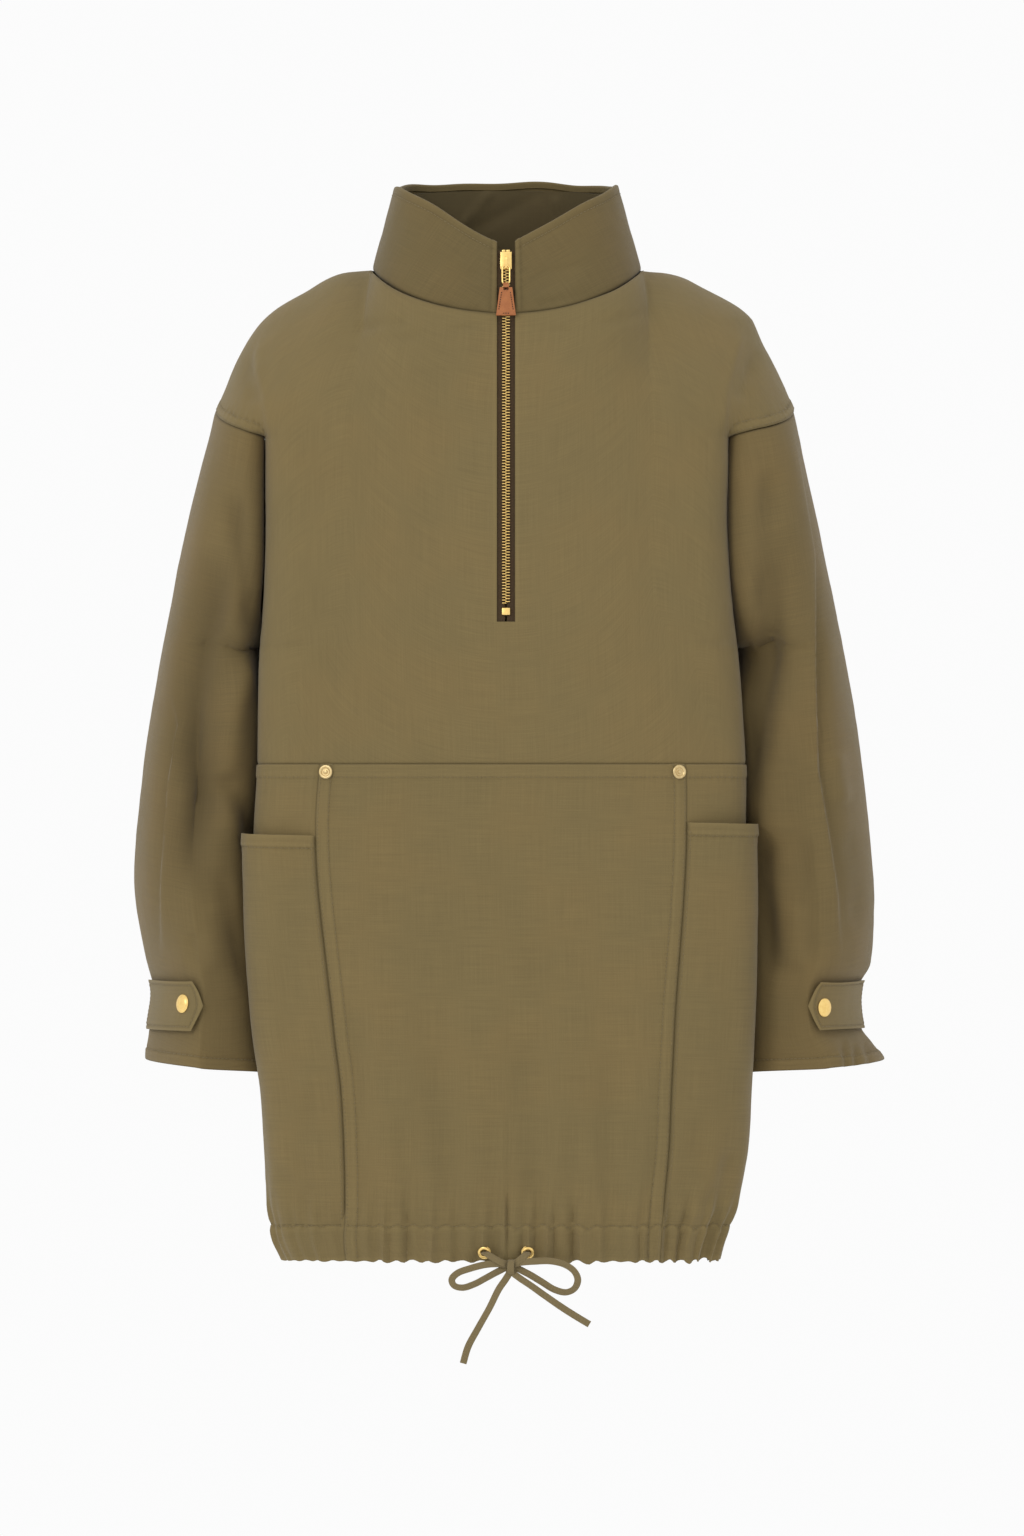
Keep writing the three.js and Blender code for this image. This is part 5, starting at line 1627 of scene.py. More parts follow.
@dataclass
class Bodice(BodyCloth):
    """Everything above the waist seam but the collar."""

    window: float = 7.0
    slot_z: float = -281.0
    centre: float = 0.034

    def front(self) -> Panel:
        """The front chest panel with the slot for the zip."""
        share = 0.4
        slot = share + (1 - share) * (FORM.yoke_z - self.slot_z) / (FORM.yoke_z - FORM.waist_z)
        t = stations(168, extra=(slot,))
        k = int(np.argmin(np.abs(t - slot)))
        t[k] = slot
        half = stations(84, extra=())
        half = self.centre + (1 - self.centre) * half[half > 0.0001]
        near = self.centre + np.array([0.0, 0.002, 0.0045, 0.008]) * (1 - self.centre)
        half = np.unique(np.r_[0, self.centre * 0.5, near, half[half > near[-1] + 0.002]])
        a = np.r_[-half[:0:-1], half]
        trial = np.linspace(0, 0.12, 25)
        grid_a, grid_t = np.meshgrid(trial, t)
        x = FORM.upper(Face.FRONT, grid_a, grid_t)[..., 0]
        edge = np.array([np.interp(self.window, row, trial) for row in x])[:, None]
        far = np.abs(a)[None]
        reach = np.where(far <= self.centre, edge * far / self.centre,
                         edge + (far - self.centre) / (1 - self.centre) * (1 - edge))
        points = FORM.upper(Face.FRONT, np.minimum(reach, 0.9995) * np.where(a < 0, -1, 1),
                            t[:, None])
        panel = Panel("chest_front", OUTLINE.moved(points), body_centre)
        inner = np.abs((a[1:] + a[:-1]) / 2) < self.centre
        panel.hole = (t[:-1] < slot - 1e-6)[:, None] & inner[None]
        self.fall(panel)
        gap = np.maximum(np.abs(points[..., 0]) - self.window, 0)
        above = (t <= slot + 1e-6)[:, None]
        flat = np.exp(-(gap / 14.0) ** 2) * smoothstep((t[:, None] * -1 + slot + 0.06) / 0.06)
        panel.height = panel.height * (1 - 0.97 * flat)
        panel.height = panel.height - np.where(above, 0.45 * np.exp(-gap / 0.9), 0)
        # painted shade along the sunk cloth edge beside the zip
        panel.seam = np.maximum(panel.seam, np.where(above, 0.5 * np.exp(-gap / 0.7), 0))
        panel.wear = np.maximum(panel.wear,
                                np.where(above, 0.35 * np.exp(-((gap - 1.6) / 1.2) ** 2), 0))
        high = smoothstep((0.43 - t[:, None]) / 0.05)
        for side in (Edge.LEFT, Edge.RIGHT):
            panel.strip(side, 8.0, 0.65, high)
            panel.roll(side)
        panel.roll(Edge.TOP, 1.1)
        panel.roll(Edge.BOTTOM, 0.7, 1.2)
        panel.settle()
        return panel

    def back(self) -> Panel:
        """The upper back panel."""
        a = stations(150) * 2 - 1
        t = stations(130)
        grid_a, grid_t = np.meshgrid(np.clip(a, -0.9995, 0.9995), t)
        panel = Panel("upper_back", OUTLINE.moved(FORM.upper(Face.BACK, grid_a, grid_t)),
                      body_centre)
        self.fall(panel)
        high = smoothstep((0.43 - t[:, None]) / 0.05)
        for side in (Edge.LEFT, Edge.RIGHT):
            panel.strip(side, 8.0, 0.65, high)
            panel.roll(side)
        panel.roll(Edge.TOP, 0.9)
        panel.roll(Edge.BOTTOM, 0.7, 1.2)
        panel.settle()
        return panel

    def build(self, wardrobe: Wardrobe) -> None:
        """Makes and dresses both panels."""
        front, back = self.front(), self.back()
        chest = report(front.make(wardrobe.cloth), "shell", "olive_cloth", "front_chest_panel")
        rear = report(back.make(wardrobe.cloth), "shell", "olive_cloth", "upper_back_panel")
        stitches = Stitching("bodice_stitches")
        for panel in (front, back):
            for edge in (Edge.LEFT, Edge.RIGHT):
                stitches.run(*panel.line(edge, 8.0, 0.012, 0.40))
                stitches.run(*panel.line(edge, 1.8, 0.012, 0.40))
        report(stitches.make(wardrobe.thread), "shell", "olive_cloth")


@dataclass
class Skirt(BodyCloth):
    """Everything below the waist seam: apron, sides, back, pockets and the hem channel."""

    seam_s: float = 0.0012
    pocket_top: float = -443.0
    pocket_bulge: float = 8.0
    channel_depth: float = 9.0

    def heights(self, top: float, count: int) -> Array:
        """Heights from a top edge to the hem, closer at both ends and at the casing's stitches."""
        t = stations(count, extra=((top - FORM.casing_z) / (top - FORM.hem_z),))
        return top + (FORM.hem_z - top) * t

    def finished(self, panel: Panel, seams: Sequence[Edge], strips: Sequence[Edge]) -> Panel:
        """Adds the fall, the waist and hem stitching and the rolled seams to a panel."""
        self.fall(panel)
        panel.strip(Edge.TOP, 12.0, 0.7)
        panel.strip(Edge.BOTTOM, 29.0, 0.5)
        for edge in strips:
            panel.strip(edge, 10.0, 0.7)
        for edge in seams:
            panel.roll(edge, 0.8, 1.3)
        tucked = np.maximum(panel.points[..., 2] - FORM.waist_z + 0.9, 0)
        panel.height = panel.height - 2.1 * smoothstep(tucked / 1.6)
        # painted shade on the band tucked under the chest panel at the waist seam
        panel.seam = np.maximum(panel.seam, 0.9 * smoothstep((tucked - 0.2) / 0.9))
        panel.settle()
        return panel

    def pocket(self, side: Side) -> Panel:
        """A patch pocket that stands proud of the side panel."""
        top = self.pocket_top + (-3.5 if side is Side.LEFT else 4.5)
        s = 1.006 + (2.94 - 1.006) * stations(96)
        bottom = FORM.casing_z - 1
        z = top + (bottom - top) * stations(124, extra=(10.0 / 306, ))
        ring, high = np.meshgrid(s, z)
        u, v = (ring - 1.006) / 1.934, (top - high) / (top - bottom)
        out, drop = gather(ring if side is Side.RIGHT else 12 - ring, high)
        points = FORM.ring(ring, high)
        points[..., 0] *= side.sign
        points[..., 2] += drop + 2.2 * (1 - v) ** 3 * (0.5 - u) * (1 if side is Side.RIGHT else -1)
        panel = Panel(f"pocket_cloth_{side.word}", OUTLINE.moved(points), body_centre)
        bulge = self.pocket_bulge * np.sin(np.pi * u) ** 1.1 * (1 - v) ** 0.8
        self.fall(panel)
        panel.height = panel.height * (1 - 0.5 * np.exp(-(v * 306 / 14) ** 2))
        over_edge = (FORM.cloth + 0.7) * smoothstep((1 - v) * 306 / 16)
        panel.height = panel.height + 0.2 + over_edge + bulge + out
        panel.height = panel.height + 0.5 * np.exp(-(v * 306 / 3.2) ** 2) * np.sin(u * 9)
        panel.strip(Edge.TOP, 10.0, 0.75)
        hem = panel.distance(Edge.TOP)
        panel.wear = np.maximum(panel.wear, 0.55 * np.exp(-(hem / 1.3) ** 2))
        panel.roll(Edge.LEFT, 1.6, 1.6)
        panel.roll(Edge.RIGHT, 1.6, 1.6)
        panel.roll(Edge.BOTTOM, 0.3, 0.8)
        panel.settle()
        return panel

    def casing(self) -> Panel:
        """The inner wall of the hem channel."""
        s = np.linspace(0, 12, 361)[:-1]
        t = np.linspace(0, 1, 15)
        z = FORM.casing_z + (FORM.hem_z + 1 - FORM.casing_z) * t
        ring, high = np.meshgrid(s, z)
        out, drop = gather(ring, high)
        points = OUTLINE.moved(FORM.ring(ring, high))
        points[..., 2] += drop
        panel = Panel("hem_channel_wall", points, body_centre, wrap=True)
        self.fall(panel)
        share = ((high - z[-1]) / (z[0] - z[-1]))
        bow = 1.6 + (self.channel_depth - 1.6) * np.minimum(4 * np.minimum(share, 1 - share), 1)
        panel.height = panel.height + out - bow
        panel.settle()
        return panel

    def build(self, wardrobe: Wardrobe, cord: Drawcord) -> tuple[Panel, Panel]:
        """Makes and dresses every panel of the skirt.

        Args:
            wardrobe: The finishes.
            cord: The drawcord, whose hidden stretch lies in the channel.

        Returns:
            The apron panel, which carries the rivets and eyelets, and the casing.
        """
        z = self.heights(FORM.waist_z + 1.9, 150)
        across = stations(112) * 2 - 1
        apron = self.finished(self.band("apron", across * (1 - self.seam_s), z),
                              (Edge.LEFT, Edge.RIGHT), (Edge.LEFT, Edge.RIGHT))
        stitches = Stitching("skirt_stitches")
        piece = report(apron.make(wardrobe.cloth), "shell", "olive_cloth", "lower_front_panel")
        for edge in (Edge.LEFT, Edge.RIGHT):
            stitches.run(*apron.line(edge, 10.0, 0.0, 0.985))
            stitches.run(*apron.line(edge, 1.9, 0.0, 0.985))
        stitches.run(*apron.line(Edge.TOP, 12.0))
        stitches.run(*apron.line(Edge.BOTTOM, 29.0))
        for side in Side:
            ring = 0.992 + (2.008 - self.seam_s) * stations(84)
            if side is Side.LEFT:
                ring = 12 - ring[::-1]
            panel = self.finished(self.band(f"side_cloth_{side.word}", ring, z),
                                  (Edge.LEFT, Edge.RIGHT), ())
            piece = report(panel.make(wardrobe.cloth), "shell", "olive_cloth",
                           f"lower_side_panel_{side.word}")
            stitches.run(*panel.line(Edge.TOP, 12.0))
            stitches.run(*panel.line(Edge.BOTTOM, 29.0))
            pocket = self.pocket(side)
            piece = report(pocket.make(wardrobe.cloth, 1.5), "shell", "olive_cloth",
                           f"pocket_{side.word}")
            stitches.run(*pocket.line(Edge.TOP, 10.0))
            for edge in (Edge.LEFT, Edge.RIGHT):
                stitches.run(*pocket.line(edge, 2.2, 0.02, 0.99))
        ring = 3 + self.seam_s + (6 - 2 * self.seam_s) * stations(200)
        rear = self.finished(self.band("lower_back", ring, z), (Edge.LEFT, Edge.RIGHT), ())
        piece = report(rear.make(wardrobe.cloth), "shell", "olive_cloth", "lower_back_panel")
        stitches.run(*rear.line(Edge.TOP, 12.0))
        stitches.run(*rear.line(Edge.BOTTOM, 29.0))
        report(stitches.make(wardrobe.thread), "shell", "olive_cloth")
        casing = self.casing()
        piece = report(casing.make(wardrobe.inside, 1.0), "shell", "olive_inner_cloth",
                       "hem_casing")
        s = np.linspace(0.17, 11.83, 300)
        height = np.full_like(s, -771.0)
        line = OUTLINE.moved(FORM.ring(s, height))
        out = unit(line - triple(0 * s, -5.0, height))
        out_height, _ = gather(s, height)
        stretch = cord.channel((line + out * (out_height * 0.9 - 4.4)[:, None], out), wardrobe.cord)
        report(stretch, "shell", "olive_cord", "drawcord_channel")
        path = (line + out * (out_height * 0.9 - 4.4)[:, None]) * MM
        cord.width * MM
        return apron, casing


# ---- Collar -------------------------------------------------------------------------------

COLLAR_CREASES = [
    Crease(((12, -29), (36, -23), (66, -13)), -0.9, 4.5),
    Crease(((16, -17), (31, -7), (70, 1)), 1.0, 4.5),
    Crease(((17, -34), (45, -29), (70, -24)), 0.8, 3.5),
    Crease(((-56, -32), (-36, -35), (-14, -37)), 0.9, 4.0),
    Crease(((-70, 8), (-46, -4), (-18, -10)), 0.8, 6.0),
    Crease(((-66, -14), (-40, -20), (-12, -22)), -0.7, 5.0),
]


@dataclass
class Collar(BodyCloth):
    """The stand collar: an outer piece rolled over its edge and a facing inside."""

    window: float = 7.0
    roll_radius: float = 1.7
    facing_start: float = 17.0

    def _grid(self, window: float, h: Array) -> Array:
        """Points of the collar with its front edges at a distance from the middle."""
        share = stations(260)
        start = np.arcsin(window / (106 - 18 * np.clip(h, 0, 1))) / (2 * np.pi)
        g = start[:, None] + (1 - 2 * start[:, None]) * share[None]
        return OUTLINE.moved(FORM.collar(g, np.broadcast_to(h[:, None], g.shape)))

    def _waves(self, panel: Panel) -> Array:
        """The soft dents of the standing cloth."""
        p = panel.points
        front = np.clip(-panel.normal[..., 1] * 1.8, 0, 1)
        height = 0.7 * lattice_noise(p, 34, 11) + 0.25 * lattice_noise(p, 13, 12)
        for crease in COLLAR_CREASES:
            height = height + crease.height(p[..., 0], p[..., 2]) * front
        return height

    def outer(self) -> Panel:
        """The outer piece."""
        rise = np.r_[1 - stations(44)]
        body = self._grid(self.window, rise)
        turn = np.linspace(0, np.pi, 9)[1:]
        flat = Panel("probe", body, body_centre)
        up = unit(body[0] - body[1])
        out = flat.normal[0]
        curl = [body[0] + up * self.roll_radius * np.sin(a)
                + out * self.roll_radius * (np.cos(a) - 1)
                for a in turn]
        inner = [curl[-1] - up * d for d in (1.5, 3.5)]
        points = np.stack(inner[::-1] + curl[::-1] + list(body))
        self.curl_rows = len(inner) + len(curl)
        panel = Panel("collar_stand", points, body_centre)
        probe = self._waves(flat)
        height = np.concatenate([np.repeat(probe[:1], self.curl_rows, axis=0), probe])
        lift = flat.normal * probe[..., None]
        top = np.repeat(lift[:1], self.curl_rows, axis=0)
        panel.points = panel.points + np.concatenate([top, lift])
        sway = 0.9 * np.sin(np.linspace(0, 1, points.shape[1]) * 31) + 0.7 * np.sin(
            np.linspace(0, 1, points.shape[1]) * 57 + 1)
        share = np.concatenate([np.ones(self.curl_rows), np.linspace(1, 0, len(body)) ** 2])
        panel.points[..., 2] += share[:, None] * sway[None] * 0.8
        panel.normal = panel._normals()
        edge = panel.along[self.curl_rows][None] - panel.along
        panel.height = 0 * height
        panel.strip(Edge.LEFT, 5.0, 0.4)
        panel.strip(Edge.RIGHT, 5.0, 0.4)
        panel.roll(Edge.LEFT, 0.4, 0.9)
        panel.roll(Edge.RIGHT, 0.4, 0.9)
        panel.roll(Edge.BOTTOM, 1.7, 1.6)
        line = 0.45 * np.exp(-((edge + 5.5) / 0.8) ** 2)
        panel.height = panel.height - line
        # painted shade in the groove of the stitch line below the roll
        panel.seam = np.maximum(panel.seam, line * 0.7)
        panel.wear = np.maximum(panel.wear,
                                0.4 * np.exp(-(np.minimum(edge, 0) / 1.6) ** 2) * (edge < 3))
        panel.settle()
        return panel

    def facing(self) -> Panel:
        """The inside piece."""
        rise = 0.93 - 0.95 * np.linspace(0, 1, 40)
        panel = Panel("collar_lining", self._grid(self.facing_start, rise), body_centre)
        p = panel.points
        behind = np.clip(panel.normal[..., 1] * 1.8, 0, 1)
        height = self._waves(panel) - 3.4
        for crease in (Crease(((-44, 28), (-24, 48), (-8, 67)), 1.3, 4.0),
                       Crease(((-39, 26), (0, 46), (38, 68)), -1.2, 6.0),
                       Crease(((-28, 20), (-8, 12)), 1.2, 5.0),
                       Crease(((38, 62), (51, 23)), 1.1, 4.0)):
            height = height + crease.height(p[..., 0], p[..., 2]) * behind
        panel.height = height
        panel.settle()
        return panel

    def build(self, wardrobe: Wardrobe) -> None:
        """Makes and dresses the collar."""
        outer, facing = self.outer(), self.facing()
        piece = report(outer.make(wardrobe.collar, 1.1), "shell", "olive_collar_cloth",
                       "collar_outer")
        piece = report(facing.make(wardrobe.inside, 1.0), "shell", "olive_inner_cloth",
                       "collar_facing")
        stitches = Stitching("collar_stitches")
        row = np.full(outer.points.shape[1] - 8, 0.0)
        columns = np.arange(4, outer.points.shape[1] - 4).astype(float)
        gap = outer.along - outer.along[self.curl_rows][None]
        for j, column in enumerate(columns):
            row[j] = np.interp(5.5, gap[:, int(column)], np.arange(len(gap)))
        stitches.run(*outer.pick(row, columns))
        report(stitches.make(wardrobe.thread), "shell", "olive_collar_cloth")


# ---- Sleeves ------------------------------------------------------------------------------

SLEEVE_CREASES = {
    Side.LEFT: fold_over(((-263, -331), (-258, -362), (-265, -417), (-268.5, -485),
                          (-269.5, -548)), 3.4, -1) + [
        Crease(((-224, -221), (-227, -255), (-236, -300), (-244.5, -348), (-244.5, -382),
                (-239, -416),
                (-246, -451), (-249, -500)), 12.0, 14),
        Crease(((-190, -262), (-198, -293), (-213, -348), (-217, -403), (-216, -460)), -7.5, 12),
        Crease(((-256, -352), (-253, -417), (-258, -495)), -2.6, 9),
        Crease(((-226, -395), (-200, -437), (-188, -470)), 6.5, 10),
        Crease(((-237, -398), (-243, -428)), 1.8, 4),
        Crease(((-224, -470), (-214, -515), (-201, -575)), 2.8, 8),
        Crease(((-236, -500), (-227, -556)), -2.0, 9),
        Crease(((-214, -170), (-204, -240), (-194, -310)), 4.5, 10),
        Crease(((-236, -150), (-240, -200), (-242, -262)), -1.6, 10),
        Crease(((-246, -520), (-240, -556)), 1.6, 6),
    ],
    Side.RIGHT: fold_over(((221, -108), (231, -169), (241, -228), (241.5, -320), (243, -396),
                           (252, -451),
                           (258.7, -495), (262, -556)), 3.2, 1) + [
        Crease(((217, -200), (207, -272), (202, -313), (195, -361), (190, -425)), 8.5, 13),
        Crease(((224, -310), (215, -375), (207, -399), (210, -458)), -3.6, 12),
        Crease(((197, -440), (203, -519), (210, -566)), 6.0, 10),
        Crease(((258, -380), (265, -426)), -2.4, 8),
        Crease(((271, -440), (277, -528)), 1.8, 8),
        Crease(((232, -440), (236, -500), (240, -556)), 2.0, 9),
        Crease(((226, -500), (228, -556)), -1.6, 8),
        Crease(((207, -150), (202, -220), (196, -285)), 3.6, 9),
        Crease(((264, -598), (269, -640)), 3.4, 3.2), Crease(((273, -598), (277, -640)), 3.2, 3.2),
        Crease(((281, -596), (288, -640)), 3.2, 3.2),
    ],
}


@dataclass
class Sleeve:
    """One sleeve in two halves with its cuff tab and press stud."""

    side: Side
    hem: float = 9.0
    tab_start: float = 0.04
    tab_tip: float = 0.5
    tab_point: float = 0.16
    tab_gap: float = 1.2
    snap_height: float = 1.8
    tab_thickness: float = 2.0

    def centre(self, p: Array) -> Array:
        """The sleeve's axis at each point's height."""
        rows = FORM.sleeve_rows(p[..., 2])
        middle = (rows[..., 0] + rows[..., 1]) / 2
        return triple(self.side.sign * middle, FORM.sleeve_y, p[..., 2])

    def placed(self, points: Array) -> Array:
        """Points of the +X sleeve on this side, in their worn place."""
        points = points.copy()
        x, z = points[..., 0], points[..., 2]
        near = smoothstep((222 - x) / 30)
        close = smoothstep((-300 - z) / 50) * (1 - 0.45 * smoothstep((-425 - z) / 60))
        points[..., 0] = (x - 9.0 * near * close) * self.side.sign
        return OUTLINE.moved(points)

    def fall(self, p: Array, normal: Array, t: Array, u: Array, face: Face) -> Array:
        """The folds of the sleeve."""
        height = drape(p, normal, SLEEVE_CREASES[self.side])
        behind = facing_share(normal[..., 1])
        for crease in (Crease(((200, -200), (212, -300), (206, -400)), 4.0, 12),
                       Crease(((236, -260), (244, -360), (238, -460)), 3.0, 12),
                       Crease(((252, -430), (246, -520), (256, -600)), 2.6, 10),
                       Crease(((214, -420), (226, -500), (220, -580)), -3.0, 12)):
            height = height + crease.height(p[..., 0] * self.side.sign, p[..., 2]) * behind
        height = height * smoothstep(t / 0.05)
        reach, fade = (0.66, 0.14) if face is Face.FRONT else (0.1, 0.08)
        level = smoothstep((36 - np.abs(p[..., 2] - FORM.tab_z)) / 12)
        return height * (1 - level * smoothstep((reach - u) / fade))

    def half(self, face: Face) -> Panel:
        """The front or back half."""
        u = stations(78)
        t = stations(190, extra=(1 - self.hem / 512,))
        grid_u, grid_t = np.meshgrid(u, t)
        points = self.placed(FORM.sleeve_point(face, grid_u, grid_t))
        word = "front" if face is Face.FRONT else "back"
        panel = Panel(f"sleeve_{word}_cloth_{self.side.word}", points, self.centre)
        opposite = Face.FRONT if face is Face.BACK else Face.BACK
        other = self.placed(FORM.sleeve_point(opposite, grid_u[:, :2], grid_t[:, :2]))
        ahead = unit(points[:, 1] - other[:, 1])
        down = unit(np.gradient(points[:, 0], axis=0))
        ridge = unit(np.cross(ahead, down))
        ridge = ridge * np.where(np.sum(ridge * (points[:, 0] - self.centre(points[:, 0])), axis=-1,
                                        keepdims=True) < 0, -1, 1)
        blend = np.exp(-(grid_u / 0.03) ** 2)[..., None]
        panel.normal = unit(panel.normal * (1 - blend) + ridge[:, None] * blend)
        panel.height = self.fall(points, panel.normal, grid_t, grid_u, face)
        # painted shade: fold valleys darken in the cloth's colour, and each sleeve's main valley
        # more, the left one most
        panel.seam = np.clip(-panel.height / PAINTED_FOLD_SHADE_DEPTH, 0, 0.6)
        valley = SLEEVE_CREASES[self.side][2]
        depth = -valley.height(points[..., 0], points[..., 2]) / valley.depth
        depth = depth * facing_share(-panel.normal[..., 1])
        shade = np.clip(depth, 0, 1) ** 0.45 * (1.0 if self.side is Side.LEFT else 0.4)
        panel.seam = np.maximum(panel.seam, shade)
        panel.strip(Edge.BOTTOM, self.hem, 0.7)
        far = Edge.RIGHT
        panel.roll(far, 0.8, 1.4)
        panel.roll(Edge.TOP, 0.9, 1.5)
        panel.roll(Edge.BOTTOM, 0.5, 0.8)
        panel.settle()
        return panel

    def tab(self) -> Panel:
        """The cuff tab, from its sewn end to its pointed tip."""
        u, v = np.meshgrid(stations(56), stations(36))
        point = np.abs(v - 0.5) * 2 * np.maximum((u - 0.8) / 0.2, 0)
        reach = self.tab_start + (self.tab_tip - self.tab_start) * (u - self.tab_point * point)
        z = FORM.tab_z + FORM.tab_height * (0.5 - v)
        points = self.placed(FORM.section(Face.FRONT, reach, z))
        panel = Panel(f"cuff_tab_cloth_{self.side.word}", points, self.centre)
        panel.height = self.tab_gap + self.snap_height * smoothstep(u / 0.6) + self.tab_thickness
        panel.height = panel.height + 0.35 * lattice_noise(points, 16, 21)
        edges = np.minimum.reduce([panel.distance(e) for e in (Edge.RIGHT, Edge.TOP, Edge.BOTTOM)])
        panel.height = (panel.height - 0.55 * np.exp(-edges / 0.8)
                        - 0.35 * np.exp(-((edges - 3.2) / 0.8) ** 2))
        # painted shade along the sunk stitch line of the tab
        panel.seam = 0.45 * np.exp(-((edges - 3.2) / 0.7) ** 2)
        panel.wear = 0.4 * np.exp(-((edges - 0.7) / 0.9) ** 2)
        panel.settle()
        return panel

    def snap(self, wardrobe: Wardrobe, tab: Panel) -> None:
        """The press stud: cap and socket on the tab, stud and post on the sleeve."""
        word = self.side.word
        x = (-253.0 if self.side is Side.LEFT else 249.0)
        z = -579.5 if self.side is Side.LEFT else -582.5
        at, normal = tab.seat(x, z)
        seat = seat_matrix(at, normal)
        cap = Bench.turned(f"press_stud_cap_{word}",
                           [(7.0, 0.0), (7.3, 0.3), (7.3, 0.7), (7.0, 1.05), (6.5, 1.2),
                                                      (6.2, 1.3), (5.5, 1.85), (4.4, 2.35),
                                                      (3.0, 2.7),
                                                      (1.5, 2.9), (0.05, 2.95)], wardrobe.gold, 56)
        report(Bench.place(cap, seat), f"cuff_tab_{word}", "pale_gold_metal", f"snap_cap_{word}")
        low = -self.tab_thickness
        socket = Bench.turned(f"press_stud_socket_{word}",
                              [(5.4, low - 0.95), (5.4, low - 0.15), (3.0, low - 0.1),
                                                            (0.1, low - 0.1)], wardrobe.gold, 32)
        report(Bench.place(socket, seat), f"cuff_tab_{word}", "gold_metal", f"snap_socket_{word}")
        base = low - self.snap_height * 0.96 - self.tab_gap
        stud = Bench.turned(f"press_stud_stud_{word}",
                            [(5.2, base + 0.15), (5.2, base + 0.5), (2.8, base + 0.6),
                                                        (2.6, base + 1.5), (0.1, base + 1.6)],
                                                        wardrobe.gold, 32)
        report(Bench.place(stud, seat), f"sleeve_{word}", "gold_metal", f"snap_stud_{word}")
        post = Bench.turned(f"press_stud_post_{word}",
                            [(5.0, base - 2.3), (5.0, base - 1.7), (3.2, base - 1.5),
                                                        (0.1, base - 1.4)], wardrobe.gold, 32)
        report(Bench.place(post, seat), f"sleeve_{word}", "gold_metal", f"snap_post_{word}")

    def build(self, wardrobe: Wardrobe) -> None:
        """Makes and dresses the sleeve."""
        word, sign = self.side.word, self.side.sign
        stitches = Stitching(f"cuff_stitches_{word}")
        start = (sign * 0.2163, 0.0, -0.139)
        end = (start[0] + 0.085 * 0.97 * sign, 0.0, start[2] - 0.085 * 0.243)
        for face in Face:
            panel = self.half(face)
            piece = panel.make(wardrobe.sleeve)
            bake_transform(piece)
            node = "front" if face is Face.FRONT else "back"
            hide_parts(f"sleeve_{node}_{word}")
            LOG.info("%s bends from shell to sleeve_%s", piece.name, word)
            stitches.run(*panel.line(Edge.BOTTOM, self.hem, 0.01, 0.99))
        tab = self.tab()
        piece = report(tab.make(wardrobe.cloth, self.tab_thickness), f"cuff_tab_{word}",
                       "olive_cloth",
                       f"cuff_tab_{word}")
        trim = Stitching(f"cuff_tab_stitches_{word}")
        for edge in (Edge.TOP, Edge.BOTTOM):
            trim.run(*tab.line(edge, 3.2, 0.03, 0.96))
        trim.run(*tab.line(Edge.RIGHT, 3.2, 0.1, 0.9))
        trim.run(*tab.line(Edge.LEFT, 2.0, 0.06, 0.94))
        report(trim.make(wardrobe.thread), f"cuff_tab_{word}", "olive_cloth")
        report(stitches.make(wardrobe.thread), f"sleeve_{word}", "olive_sleeve_cloth")
        self.snap(wardrobe, tab)


# ---- Zip ----------------------------------------------------------------------------------


